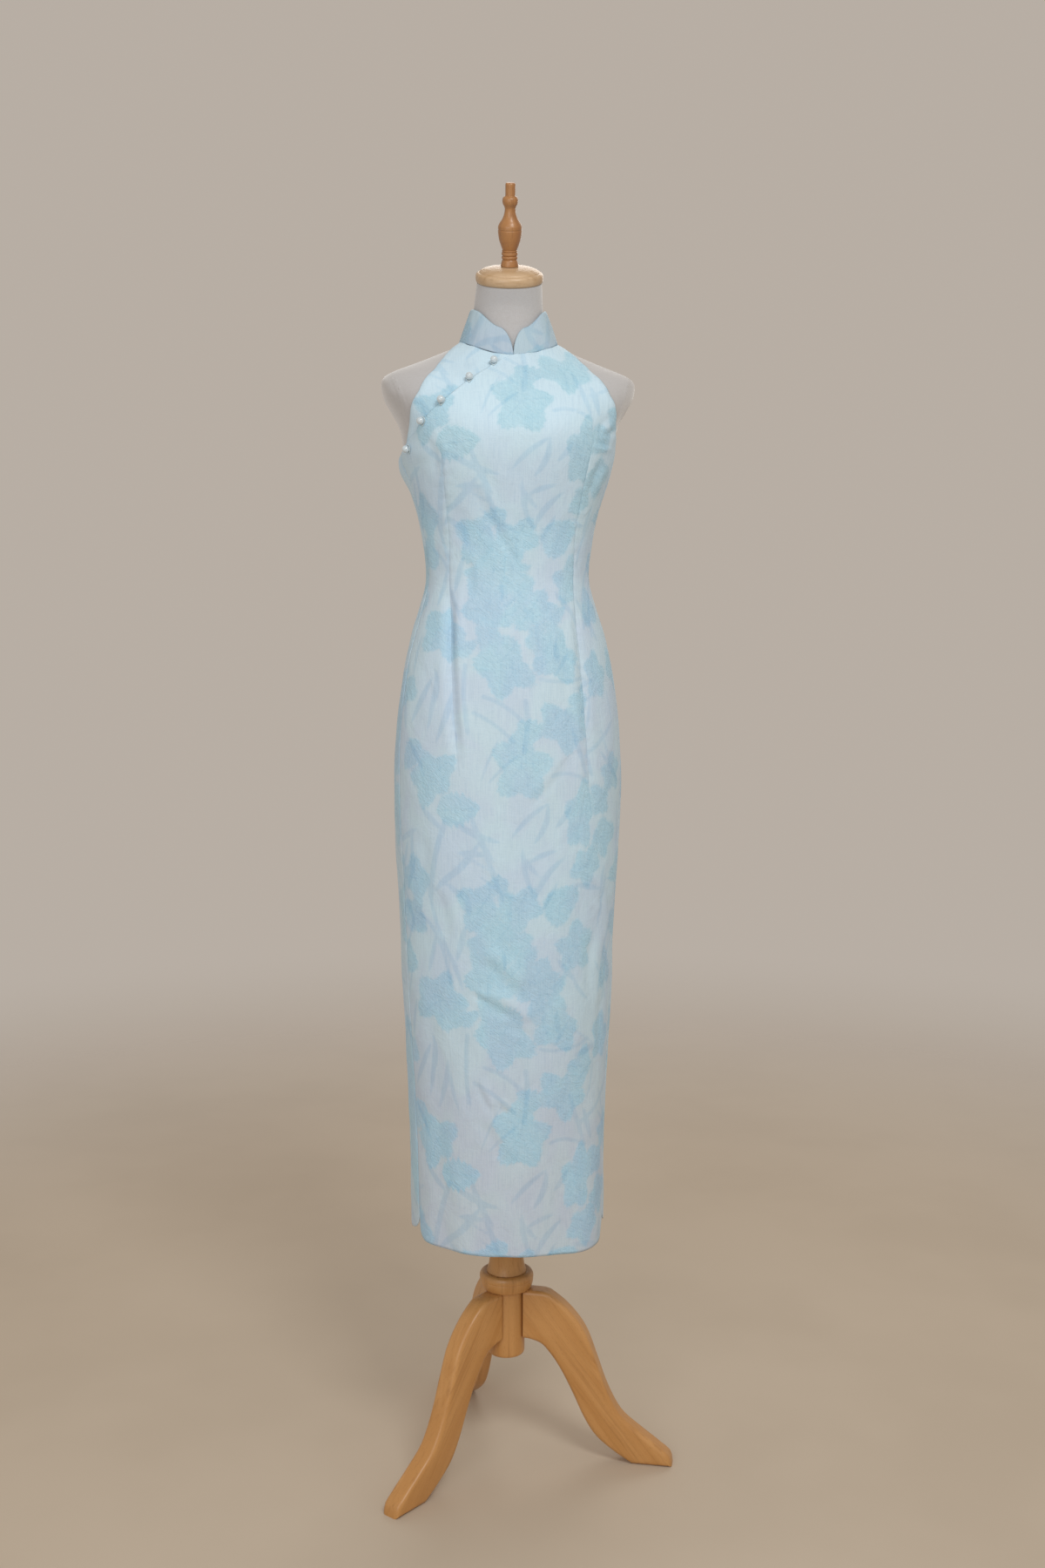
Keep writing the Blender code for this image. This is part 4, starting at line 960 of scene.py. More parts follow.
# Slender blades and thin stems: from, by, to, half width in the middle, pointed or even
BLADES = (
    ((-0.108, 0.299), (-0.079, 0.318), (-0.059, 0.352), 0.0050, 1),
    ((-0.055, 0.345), (-0.034, 0.300), (-0.027, 0.270), 0.0034, 1),
    ((-0.108, 0.299), (-0.091, 0.284), (-0.070, 0.272), 0.0040, 1),
    ((-0.104, 0.382), (-0.126, 0.330), (-0.131, 0.276), 0.0042, 0),
    ((-0.131, 0.276), (-0.126, 0.240), (-0.104, 0.205), 0.0028, 0),
    ((-0.148, 0.402), (-0.128, 0.382), (-0.108, 0.366), 0.0042, 1),
    ((-0.016, 0.358), (0.004, 0.388), (0.036, 0.404), 0.0036, 1),
    ((0.034, 0.404), (0.036, 0.374), (0.014, 0.350), 0.0042, 1),
    ((0.006, 0.324), (0.024, 0.336), (0.047, 0.340), 0.0036, 1),
    ((0.016, 0.276), (0.028, 0.312), (0.058, 0.330), 0.0042, 1),
    ((-0.104, 0.055), (-0.106, 0.022), (-0.122, -0.018), 0.0044, 1),
    ((-0.132, 0.086), (-0.121, 0.066), (-0.128, 0.034), 0.0036, 1),
    ((-0.102, 0.040), (-0.100, 0.012), (-0.088, -0.016), 0.0032, 1),
    ((-0.076, 0.090), (-0.081, 0.045), (-0.073, -0.004), 0.0028, 0),
    ((-0.066, 0.024), (-0.038, 0.012), (-0.012, -0.016), 0.0026, 0),
    ((-0.052, 0.046), (-0.024, 0.038), (0.000, 0.012), 0.0028, 0),
    ((0.004, 0.040), (0.009, 0.010), (0.002, -0.030), 0.0034, 0),
    ((0.152, 0.508), (0.132, 0.484), (0.090, 0.464), 0.0030, 0),
    ((0.146, 0.230), (0.124, 0.196), (0.119, 0.140), 0.0024, 0),
    ((0.158, 0.216), (0.134, 0.180), (0.133, 0.128), 0.0020, 0),
    ((-0.150, 0.250), (-0.112, 0.232), (-0.100, 0.160), 0.0028, 0),
    ((-0.122, 0.226), (-0.128, 0.200), (-0.136, 0.170), 0.0036, 1),
    ((-0.112, 0.214), (-0.092, 0.190), (-0.082, 0.150), 0.0034, 1),
    ((0.024, 0.070), (0.062, 0.060), (0.100, 0.076), 0.0024, 0),
    ((0.040, 0.440), (0.062, 0.450), (0.094, 0.430), 0.0026, 0),
    ((0.164, 0.400), (0.172, 0.360), (0.160, 0.322), 0.0036, 1),
    ((-0.168, 0.370), (-0.160, 0.330), (-0.172, 0.310), 0.0034, 1),
    ((0.172, 0.196), (0.190, 0.160), (0.180, 0.120), 0.0034, 1),
    ((-0.160, 0.130), (-0.172, 0.100), (-0.170, 0.074), 0.0030, 1),
    ((0.100, 0.130), (0.082, 0.144), (0.070, 0.166), 0.0030, 1),
)
TOOTH = 0.0085               # from one tooth of a leaf's edge to the next
LEAF_THINNED = 0.0009        # how deep inside its edge a leaf ends where it meets another
GRASSES = 46                 # more slender blades, strewn at random between the leaves
OUTSIDE = 0.02               # the distance given to cloth that is far from any leaf
hand = np.random.default_rng(27)
strewn = []
for _ in range(GRASSES):
    foot = hand.uniform((-REPEAT_ROUND / 2, 0), (REPEAT_ROUND / 2, REPEAT_UP))
    bearing, length = hand.normal(math.pi / 2, 0.75), hand.uniform(0.030, 0.085)
    reach = length * np.array((math.cos(bearing), math.sin(bearing)))
    bow = hand.normal(0, 0.07) * np.array((-reach[1], reach[0]))
    strewn.append((tuple(foot), tuple(foot + reach / 2 + bow), tuple(foot + reach),
                   hand.uniform(0.0016, 0.0046), 1))


def lobed(a, b, reach, lobes, start):
    """Distance outside a round toothed leaf or blossom, and from the ribs of its lobes.
    start, as an angle, makes each one uneven in its own way."""
    angle, far = np.arctan2(b, a), np.hypot(a, b)
    lobe = (np.abs(np.cos(lobes * angle / 2)) ** 0.9
            + 1 - np.abs(np.sin(lobes * angle / 2)) ** 1.3) / 2
    teeth = math.tau * reach / TOOTH
    tooth = np.abs(np.remainder(round(teeth) * angle / math.pi + start, 2) - 1) - 0.5
    edge = reach * (0.70 + 0.34 * lobe) * (1 + 0.12 * np.cos(2 * angle + start)
                                           + 0.09 * np.cos(3 * angle + 2 * start) + 0.10 * tooth)
    off_rib = np.remainder(angle + math.pi / lobes, math.tau / lobes) - math.pi / lobes
    return (far - edge) * 0.88, np.abs(np.sin(off_rib)) * far + 0.01 * (far > 0.8 * edge)


def pointed(along, off, reach, half, tooth_start):
    """Distance outside one pointed, toothed lobe that lies along the first axis."""
    share = np.clip(along / reach, 0, 1)
    teeth = 1 + 0.17 * np.sin(along / TOOTH * math.tau + tooth_start + np.sign(off) * 1.3)
    width = half * np.sin(math.pi * share ** 0.72) ** 0.75 * teeth
    past = along - np.clip(along, 0, reach)
    return np.where(past == 0, np.abs(off) - width, np.hypot(past, off)) * 0.9


def woven_figure(around, up):
    """Marks of the pattern: distance outside the leaves, outside the stems, tone, midribs."""
    leaf = np.full(around.shape, OUTSIDE)
    rib, stem, under = leaf.copy(), leaf.copy(), leaf.copy()
    tone = np.zeros(around.shape)

    def turned(place, place_up, degrees=0):
        """Each point from the nearest repeat of a place, along and beside a direction."""
        a, b = around - place, up - place_up
        a -= REPEAT_ROUND * np.round(a / REPEAT_ROUND)
        b -= REPEAT_UP * np.round(b / REPEAT_UP)
        c, s = math.cos(math.radians(degrees)), math.sin(math.radians(degrees))
        return a * c + b * s, -a * s + b * c

    def lay(near, far, shade, ribs):
        """Lay a leaf over what is further outside its own edge."""
        nearer = far < leaf[near]
        under[near] = np.where(nearer, leaf[near], np.minimum(under[near], far))
        for mark, value in ((leaf, far), (tone, shade), (rib, ribs)):
            mark[near] = np.where(nearer, value, mark[near])

    for place, place_up, reach, stretch, degrees, lobes, shade in BLOSSOMS:
        a, b = turned(place, place_up, degrees)
        b = b / stretch
        near = np.hypot(a, b) < reach + 0.03
        far, ribs = lobed(a[near], b[near], reach, lobes, 1.7 * lobes + 40 * reach + 9 * shade)
        lay(near, far * (0.5 + 0.5 * stretch), shade, ribs)
    for place, place_up, reach, half, degrees, shade in LEAVES:
        along, off = turned(place, place_up, degrees)
        near = np.hypot(along, off) < reach + OUTSIDE
        along, off = along[near], off[near]
        far = pointed(along, off, reach, half, 50 * reach)
        middle = np.abs(off) + np.where(along < reach * 0.85, 0, 0.01)
        lay(near, far, shade, np.where(far < 0, middle, rib[near]))
    for first, by, last, half, is_blade in (*BLADES, *strewn):
        a, b = turned(*by)
        t = np.linspace(0, 1, 9)[:, None]
        first, by, last = (np.array(point) for point in (first, by, last))
        line = (first - by) * (1 - t) ** 2 + (last - by) * t ** 2
        near = np.hypot(a, b) < np.abs(line).max() + OUTSIDE
        off, along, _ = from_line(a[near], b[near], line)
        width = half * (np.sin(math.pi * np.clip(along, 0, 1)) ** 0.6 if is_blade else 1.0)
        stem[near] = np.minimum(stem[near], np.abs(off) - width)
    # where two leaves meet, their colour thins a little
    leaf = np.maximum(leaf, -LEAF_THINNED - (under - leaf) / 2)
    return {"leaf": leaf, "stem": stem, "tone": tone, "rib": rib}


# Lengths of cloth round and up the figure are measured over these heights and turns
ARC_RANGE = (HEM_HEIGHT - 0.012, 1.60)
ARC_HEIGHTS = np.linspace(*ARC_RANGE, 90)
ARC_STEPS = 240
ARC_TURNS = np.linspace(0, math.pi, ARC_STEPS + 1)
FIGURE_CLOSER = 0.035        # how much closer the figure is woven above the hips
WAIST = (1.25, 1.30)         # the darts swallow most here


def arc_round(turn, height):
    """Length of cloth round the figure, from the middle of the front."""
    turns, heights = np.meshgrid(ARC_TURNS, ARC_HEIGHTS)
    ring = on_figure(turns.ravel(), heights.ravel()).reshape(*turns.shape, 3)
    lengths = np.cumsum(np.linalg.norm(np.diff(ring, axis=1), axis=2), axis=1)
    lengths = np.concatenate((np.zeros((len(ARC_HEIGHTS), 1)), lengths), axis=1)
    row = np.clip(np.interp(height, ARC_HEIGHTS, np.arange(len(ARC_HEIGHTS))), 0,
                  len(ARC_HEIGHTS) - 1.001)
    column = np.clip(np.abs(turn) / math.pi * ARC_STEPS, 0, ARC_STEPS - 0.001)
    r, c = row.astype(int), column.astype(int)
    low, high = (blend(lengths[i, c], lengths[i, c + 1], column - c) for i in (r, r + 1))
    return np.copysign(blend(low, high, row - r), turn)


def arc_up(height, behind=False):
    """Length of cloth up the middle, measured so that it equals the height at the hips."""
    heights = np.linspace(*ARC_RANGE, 400)
    depth = (back_depth if behind else front_depth)(heights)
    rise = np.concatenate(([0], np.cumsum(np.hypot(np.diff(heights), np.diff(depth)))))
    rise += HIP_HEIGHT - np.interp(HIP_HEIGHT, heights, rise)
    return np.interp(height, heights, rise)


def figured(where, behind=False, shift=(0.0, 0.0)):
    """Marks for a dress panel: the pattern, and the cloth's own directions for its weave."""
    side = -1 if behind else 1

    def marks(u, v):
        turn, height = where(u, v)
        place = on_figure(turn, height)
        around = arc_round(turn - math.tau * (turn > math.pi), height)
        if behind:
            whole = arc_round(np.full(turn.shape, math.pi), height)
            around = np.where(turn <= math.pi, around - whole, around + whole)
        offs, moved = [], np.zeros(len(turn))
        for dart_side, line, _, _, swallowed in darts:
            if dart_side != side:
                continue
            # a dart moves the pattern beyond it, towards the side seam
            at, levels = dart_at(line, height), [point[1] for point in line]
            share = np.interp(height, (min(levels), *WAIST, max(levels)), (0, 1, 1, 0))
            beyond = (place[:, 0] - at) * np.sign(at) > 0.0005
            moved += np.sign(at) * swallowed * share * beyond
            offs.append(np.abs(from_line(place[:, 0], place[:, 2], line)[0]))
        around = around + moved + shift[0]
        up = arc_up(height, behind)
        up = up + FIGURE_CLOSER * np.maximum(0, up - HIP_HEIGHT) + shift[1]
        made = woven_figure(around, up - FIGURE_START)
        made["cloth"] = np.stack((around, up, 0 * up + math.pi * behind), axis=-1)
        made["seam"] = np.where(place[:, 1] * side < 0, np.min(offs, axis=0), 1.0)
        return made

    return marks


def brocade(name, painted_light_level=1.0):
    """Thin pale brocade, its leaves and stems woven in aqua and blue with a soft lustre."""
    made, tree, shader = blank_material(name, 0.50, Sheen_Weight=0.22, Sheen_Roughness=0.35,
                                        Sheen_Tint=(0.72, 0.88, 1.0, 1.0),
                                        Specular_Tint=(0.82, 0.92, 1.0, 1.0),
                                        Specular_IOR_Level=0.42)

    def mark(key, output="Fac"):
        return add_node(tree, "ShaderNodeAttribute", attribute_name=key).outputs[output]

    def tint(colour, share, red, green, blue):
        return mixed(tree, share, colour, (red, green, blue, 1), how="MULTIPLY")

    place = mark("cloth", "Vector")
    slub = stretched_noise(tree, place, (820, 30, 1), 3.0, 0.6)
    pick = stretched_noise(tree, place, (60, 1150, 1), 2.0, 0.6)
    tooth = stretched_noise(tree, place, (105, 90, 1), 4.0, 0.66, 0.4)
    jag = times(tree, minus(tree, tooth, 0.5), 0.0085)
    leaf = spread_out(tree, plus(tree, mark("leaf"), jag), 0.0028, -0.0030)
    stem = spread_out(tree, plus(tree, mark("stem"), times(tree, jag, 0.15)), 0.0018, -0.0016)

    # the ground inside the leaves puckers into short slanting waves
    slant = add_node(tree, "ShaderNodeMapping",
                     {"Vector": place, "Rotation": (0, 0, math.radians(38))}).outputs[0]
    pucker = stretched_noise(tree, slant, (85, 230, 1), 3.0, 0.62, 1.6)
    fine_pucker = stretched_noise(tree, slant, (170, 520, 1), 2.0, 0.6, 1.1)
    wisp = stretched_noise(tree, place, (15, 11, 1), 3.0, 0.55, 0.5)
    drift = stretched_noise(tree, place, (34, 21, 1), 3.0, 0.55, 1.2)

    height_up = add_node(tree, "ShaderNodeSeparateXYZ", {0: place}).outputs["Y"]
    below_chest = ranged(tree, height_up, 1.34, 1.52, 1.0, 0.2)
    share = times(tree, spread_out(tree, wisp, 0.38, 0.64), below_chest)
    # the brocade's second argument scales its ground and so the whole cloth: below 1 it is painted
    # shade
    colour = mixed(tree, share,
                   (0.582 * painted_light_level, 0.766 * painted_light_level, 0.888 * painted_light_level, 1),
                   (0.568 * painted_light_level, 0.718 * painted_light_level, 0.874 * painted_light_level, 1))
    # towards the hem the pale ground is painted warmer: painted light bounced up from the floor
    low = spread_out(tree, height_up, 0.76, 0.42)
    colour = tint(colour, low, 1.0, 0.925, 0.92)
    # painted shade: from the hips up to the waist the ground, and the leaves drawn from it, are
    # painted a little darker and warmer, where the light falls off
    middle = times(tree, spread_out(tree, height_up, 0.88, 1.00),
                   spread_out(tree, height_up, 1.34, 1.26))
    colour = tint(colour, middle, 0.98, 0.960, 0.950)
    share = times(tree, stem, ranged(tree, drift, 0.3, 0.7, 1.0, 0.60))
    colour = tint(colour, share, 0.835, 0.905, 0.955)
    # towards the hem the leaves are painted lighter and cooler: painted light, which also takes
    # back the painted floor warmth on them
    aqua_leaf = tint(tint(colour, 1.0, 0.838, 0.987, 1.025), low, 0.97, 1.05, 1.09)
    blue_leaf = tint(tint(colour, 1.0, 0.790, 0.940, 1.008), low, 0.97, 1.05, 1.09)
    fill = mixed(tree, mark("tone"), aqua_leaf, blue_leaf)
    fill = tint(fill, spread_out(tree, height_up, 1.34, 1.42), 0.965, 0.955, 0.935)
    fill = tint(fill, spread_out(tree, pucker, 0.40, 0.68), 0.905, 0.955, 0.975)
    ribs = spread_out(tree, mark("rib"), 0.0020, 0.0004)
    fill = tint(fill, times(tree, ribs, 0.6), 0.84, 0.90, 0.94)
    share = times(tree, leaf, ranged(tree, drift, 0.3, 0.7, 1.0, 0.72))
    colour = mixed(tree, share, colour, fill)
    threads = plus(tree, slub, times(tree, pick, 0.5))
    colour = tint(colour, spread_out(tree, threads, 0.62, 1.02), 0.88, 0.91, 0.94)
    stitched = spread_out(tree, mark("seam"), 0.0014, 0.0003)
    colour = tint(colour, times(tree, stitched, 0.40), 0.76, 0.80, 0.84)
    tree.links.new(colour, shader.inputs["Base Color"])
    tree.links.new(ranged(tree, leaf, 0.0, 1.0, 0.60, 0.54), shader.inputs["Roughness"])

    crinkle = plus(tree, times(tree, minus(tree, pucker, 0.5), 0.0020),
                   times(tree, minus(tree, fine_pucker, 0.5), 0.0008))
    crinkle = times(tree, crinkle, ranged(tree, leaf, 0.0, 1.0, 0.16, 1.0))
    weave = plus(tree, times(tree, slub, 0.00036), times(tree, pick, 0.00012))
    raised = plus(tree, times(tree, leaf, 0.00007), crinkle)
    height = plus(tree, raised, plus(tree, weave, times(tree, drift, 0.0022)))
    bump(tree, shader, height, 0.62)
    return made


def sewn(name, node, columns, rows, place, marks, cloth, thickness=WALL):
    """A piece of the dress, its thickness laid inward from the modelled outer face."""
    mesh = grid_mesh(name, columns, rows, place, marks)
    piece = finish(name, mesh, cloth, [node], sharp=60)
    shell = piece.modifiers.new("Cloth", "SOLIDIFY")
    shell.thickness = thickness
    shell.offset = -1.0
    return piece


dress_cloth = brocade("brocade")
underarm_seam = float(seam_turn(UNDERARM_HEIGHT))
underarm_inset = float(seam_inset(UNDERARM_HEIGHT))
neck_side = math.radians(90)         # the shoulder seam meets the neck at the side
SHOULDER_REACH = 0.13
TRIM = GAP / SHOULDER_REACH          # the gap at a shoulder seam, as a turn

back_left = edge_path(ARMHOLE_BACK, (underarm_seam + underarm_inset, UNDERARM_HEIGHT),
                      (neck_side, NECK_SEAM_SIDE), behind=True)


def back_right(v):
    turn, height = back_left(v)
    return math.tau - turn, height


back_panel = panel(
    math.pi, BACK_COLUMNS,
    patch(level_edge(underarm_seam + underarm_inset, math.tau - underarm_seam - underarm_inset),
          neck_edge(neck_side, math.tau - neck_side), back_left, back_right), TRIM, -TRIM)


def back_where(u, v):
    turn, height = back_panel(u, v)
    fade = towards_hem(height, HEM_DROP_TOP)
    from_slit = np.minimum(turn, math.tau - turn) - math.radians(SIDE_SEAM[0][1])
    return turn, height + BACK_CORNER_RISE * fade * smooth_step(1 - from_slit / BACK_CORNER_TURN)


def back_place(u, v):
    turn, height = back_where(u, v)
    points = hang(turn, height, BACK_COLUMNS, PANEL_ROWS)
    return faced(points, turn, height, back_left, back_right)


dress_back = sewn("dress_back", "back", BACK_COLUMNS, PANEL_ROWS, back_place,
                  figured(back_where, behind=True, shift=(0.115, 0.210)), dress_cloth)

# ------------------------------------------------------------------ dress, shoulder piece
# The small piece over the wearer's right shoulder that the front laps on to.  It is sewn
# in at the collar, the shoulder and the underarm, and carries the buttons.

YOKE_COLUMNS, YOKE_ROWS = 84, 84
# Its hidden edge below the front: height, distance from the middle
UNDERLAP = ((1.430, -0.1215), (1.452, -0.1080), (1.479, -0.0810), (1.507, -0.0480),
            (1.531, -0.0150), (1.552, 0.0120))

low_turn = float(turn_at(*UNDERLAP[0]))
high_turn = float(turn_at(*UNDERLAP[-1]))
yoke_low = UNDERARM_HEIGHT + GAP
front_half = underarm_seam - underarm_inset
yoke_armhole = edge_path(ARMHOLE_FRONT, (-front_half, yoke_low), (-neck_side, NECK_SEAM_SIDE),
                         side=-1)
yoke_patch = patch(
    level_edge(-front_half, low_turn, yoke_low), neck_edge(-neck_side, high_turn), yoke_armhole,
    edge_path(UNDERLAP[1:-1], (low_turn, yoke_low),
              (high_turn, float(neck_seam_height(high_turn)))))


def yoke_where(u, v):
    turn, height = yoke_patch(u, v)
    return turn + TRIM * (1 - u), height


def yoke_place(u, v):
    turn, height = yoke_where(u, v)
    points = hang(turn, height, YOKE_COLUMNS, YOKE_ROWS, has_hem=False)
    return faced(points, turn, height, yoke_armhole)


dress_yoke = sewn("dress_yoke", "front_yoke", YOKE_COLUMNS, YOKE_ROWS, yoke_place,
                  figured(yoke_where, shift=(0.049, 0.330)), dress_cloth)

# ------------------------------------------------------------------ dress, front
# One full-length panel with a long dart each side, its top cut on the slant from the collar
# to the wearer's right underarm.  The slanted edge is faced, and laps over the shoulder piece.

FRONT_COLUMNS = 144
LAP_LIFT = 0.0016
LAP_MARGIN, LAP_FALL, LAP_START = 0.006, 0.016, 0.03
SLANT_DROP, SLANT_ROLL = 0.0007, 0.003
SLANT_RIDGE = (0.0004, 0.0022, 0.0045)       # its facing's ridge, and how far in that is
# Slanted edge from the underarm to the collar: height, distance from the middle
SLANT = ((1.4460, -0.1365), (1.4665, -0.1225), (1.4905, -0.0985), (1.5205, -0.0618),
         (1.5445, -0.0275))
# How far the front's hem hangs below the back's: turn, drop
HEM_DROP = ((-69, 0.0000), (-20, 0.0035), (20, 0.0060), (44, 0.0098), (57, 0.0060), (69, -0.0100))

hem_fall = steady_curve([math.radians(row[0]) for row in HEM_DROP], [row[1] for row in HEM_DROP])
front_armhole = edge_path(ARMHOLE_FRONT, (front_half, UNDERARM_HEIGHT),
                          (neck_side, NECK_SEAM_SIDE))
front_panel = panel(
    0.0, FRONT_COLUMNS,
    patch(level_edge(-front_half, front_half), neck_edge(0.0, neck_side),
          edge_path(SLANT, (-front_half, UNDERARM_HEIGHT), (0.0, NECK_SEAM_FRONT)),
          front_armhole),
    0.0, -TRIM)


def front_where(u, v):
    turn, height = front_panel(u, v)
    return turn, height - hem_fall(turn) * towards_hem(height, HEM_DROP_TOP)


def front_place(u, v):
    turn, height = front_where(u, v)
    place = on_figure(turn, height)
    edge = [(across, level) for level, across in UNDERLAP]
    off, _, _ = from_line(place[:, 0], place[:, 2], edge)
    lift = LAP_LIFT * smooth_step(1 + (off + LAP_MARGIN) / LAP_FALL)
    lift *= smooth_step((height - UNDERARM_HEIGHT + LAP_START) / LAP_START)
    points = hang(turn, height, FRONT_COLUMNS, PANEL_ROWS, lift=lift)
    points = faced(points, turn, height, front_armhole)
    # the faced slant is rolled above the underarm
    near = edge_distances(points, FRONT_COLUMNS, PANEL_ROWS)[0]
    above = smooth_step((height - UNDERARM_HEIGHT) / 0.01)
    ridge, half, inset = SLANT_RIDGE
    drop = SLANT_DROP * rolled(near, SLANT_ROLL) - ridge * bulge(near, half, inset)
    return points - skin_normal(turn, height) * (drop * above)[:, None]


dress_front = sewn("dress_front", "front", FRONT_COLUMNS, PANEL_ROWS, front_place,
                   figured(front_where, shift=(-0.007, 0.0)), dress_cloth)

# ------------------------------------------------------------------ collar
# A stiffened standing band of the same cloth on both faces, sewn to the neck seam.  Its two
# ends are rounded and meet side by side in the middle of the front.

COLLAR_COLUMNS, COLLAR_ROWS = 260, 26
COLLAR_WALL = 0.0016
COLLAR_HEIGHT, COLLAR_END_HEIGHT, COLLAR_END_RADIUS = 0.0450, 0.0360, 0.0220
COLLAR_TOP = (0.0512, 0.0520, 0.0505)        # side, front and back reach of its top edge
END_SHARE = 0.115                            # columns given to each rounded end
COLLAR_RISE = 0.045                          # length in which it reaches its full height
COLLAR_SLOPE = 0.25                          # of its outer face, which looks a little up
COLLAR_BELLY, COLLAR_DROP, COLLAR_ROLL = 0.0006, 0.0009, 0.0022
COLLAR_SEWN_LIFT = 0.0001                    # between its lower edge and the neck seam
COLLAR_RADIUS = 0.054                        # for the length of pattern round it
COLLAR_FIGURE = (0.150, 0.285)               # the place in the repeat that it is cut from


def collar_turn(u):
    """Columns crowd into the rounded ends."""
    depth = float(front_depth(NECK_SEAM_FRONT))
    end_turn = COLLAR_END_RADIUS / depth
    half = np.minimum(u, 1 - u) / END_SHARE
    near = np.maximum(end_turn * (1 - np.cos(np.minimum(half, 1) * math.pi / 2)), GAP / depth)
    share = np.clip((half - 1) / (0.5 / END_SHARE - 1), 0, 1)
    turn = np.where(half <= 1, near, blend(end_turn, math.pi, share))
    return np.where(u <= 0.5, turn, math.tau - turn)


def collar_place(u, v):
    turn = collar_turn(u)
    from_end = np.minimum(turn, math.tau - turn) * float(front_depth(NECK_SEAM_FRONT))
    rise = smooth_step((from_end - COLLAR_END_RADIUS) / COLLAR_RISE)
    full = blend(COLLAR_END_HEIGHT, COLLAR_HEIGHT, rise)
    base = on_figure(turn, neck_seam_height(turn))
    base[:, 2] += COLLAR_SEWN_LIFT
    across, along = np.sin(turn), np.cos(turn)
    side, front, back = COLLAR_TOP
    depth = np.where(along > 0, front, back)
    top = np.stack((side * across, -depth * along, base[:, 2] + full), axis=-1)
    into = np.minimum(from_end / COLLAR_END_RADIUS, 1.0)
    reach = np.sqrt(1 - (1 - into) ** 2)
    points = base + (top - base) * (v * reach)[:, None]
    out = unit(np.stack((across, -along, COLLAR_SLOPE + 0 * turn), axis=-1))
    # pillowed a little between its pressed edges, and uneven where it is hand-sewn on
    belly = COLLAR_BELLY * np.sin(math.pi * np.clip(v, 0, 1)) ** 0.5
    edge = np.minimum(v * full + 0.0012, (1 - v) * full * reach + 0.0001)
    edge = np.minimum(edge, from_end * 1.2 + 0.0001)
    roll = -COLLAR_DROP * rolled(edge, COLLAR_ROLL)
    wave = 0.00030 * np.sin(turn * 9 + 1.2) + 0.00018 * np.sin(turn * 23 + 4 * v)
    return points + out * (belly + roll + wave * np.sin(math.pi * v))[:, None]


def collar_marks(u, v):
    around = (collar_turn(u) - math.pi) * COLLAR_RADIUS
    up = v * COLLAR_HEIGHT
    made = woven_figure(around + COLLAR_FIGURE[0], up + COLLAR_FIGURE[1])
    made["cloth"] = np.stack((around, up + 1.3, 0 * up), axis=-1)
    made["seam"] = 1.0 + 0 * up
    return made


# the collar's brocade is painted darker, at 0.75: painted shade for its upright face, which the
# light from above reaches less
dress_collar = sewn("dress_collar", "collar", COLLAR_COLUMNS, COLLAR_ROWS, collar_place,
                    collar_marks, brocade("brocade_collar_painted_shade", 0.75), COLLAR_WALL)

# ------------------------------------------------------------------ button loops
# Narrow rouleau of the same cloth, folded into a loop and caught under the slanted edge, so
# that it goes round a pearl's shank and holds the front closed.

LOOP_CORD_RADIUS = 0.0008
LOOP_RADIUS = 0.0045
LOOP_PINCH, LOOP_DRAWN = 0.45, 0.0018        # narrowing and lengthening where its ends go under
# Buttons on the slanted edge: height, distance from the middle
BUTTONS = ((1.5445, -0.0275), (1.5205, -0.0618), (1.4905, -0.0985), (1.4665, -0.1215),
           (1.4335, -0.1370))
BUTTON_RADIUS = 0.0050


def rouleau(name, colour):
    made, tree, shader = blank_material(name, 0.55, Sheen_Weight=0.3)
    place = add_node(tree, "ShaderNodeTexCoord").outputs["Object"]
    twist = stretched_noise(tree, place, (900, 900, 1500), 2.0, 0.6)
    tone = mixed(tree, spread_out(tree, twist, 0.35, 0.7), (*colour, 1),
                 (*(0.72 * part for part in colour), 1))
    tree.links.new(tone, shader.inputs["Base Color"])
    bump(tree, shader, twist, 0.5, 0.0002)
    return made


def button_seat(height, across):
    """Where a button sits, with Z standing off the cloth and Y up the front."""
    turn = turn_at(height, across)
    place, normal = on_figure(turn, height), Vector(skin_normal(turn, height))
    out = float(relief(np.array([float(turn)]), np.array([height]))[0])
    centre = STAND_AXIS + Vector(place) + normal * out
    return Matrix.Translation(centre) @ normal.to_track_quat("Z", "Y").to_matrix().to_4x4()


loop_cloth = rouleau("rouleau", (0.56, 0.70, 0.76))
for number, spot in enumerate(BUTTONS, 1):
    bm = bmesh.new()
    bmesh.ops.create_circle(
        bm, segments=12, radius=LOOP_CORD_RADIUS,
        matrix=Matrix.Translation((LOOP_RADIUS, 0, 0)) @ Matrix.Rotation(math.pi / 2, 4, "X"))
    bmesh.ops.spin(bm, geom=bm.verts[:] + bm.edges[:], axis=(0, 0, 1), cent=(0, 0, 0), steps=48,
                   angle=math.tau, use_merge=True)
    bmesh.ops.remove_doubles(bm, verts=bm.verts[:], dist=0.00001)
    for vert in bm.verts:
        # the loop draws to a point where its two ends go under the edge
        low = max(0.0, -vert.co.y / LOOP_RADIUS)
        vert.co.x *= 1 - LOOP_PINCH * low * low
        vert.co.y -= LOOP_DRAWN * low * low
    bmesh.ops.recalc_face_normals(bm, faces=bm.faces[:])
    seat = button_seat(*spot) @ Matrix.Translation((0, 0, LAP_LIFT + LOOP_CORD_RADIUS))
    bmesh.ops.transform(bm, matrix=seat, verts=bm.verts[:])
    finish(f"loop_{number}", mesh_from(bm, "loop"), loop_cloth,
           [f"button_loop_{number}"])

# ------------------------------------------------------------------ pearl buttons
# Five round pearls on short shanks, sewn along the slanted edge.  Each is a shade flattened
# where its drill hole is plugged, and hangs a little below its shank.

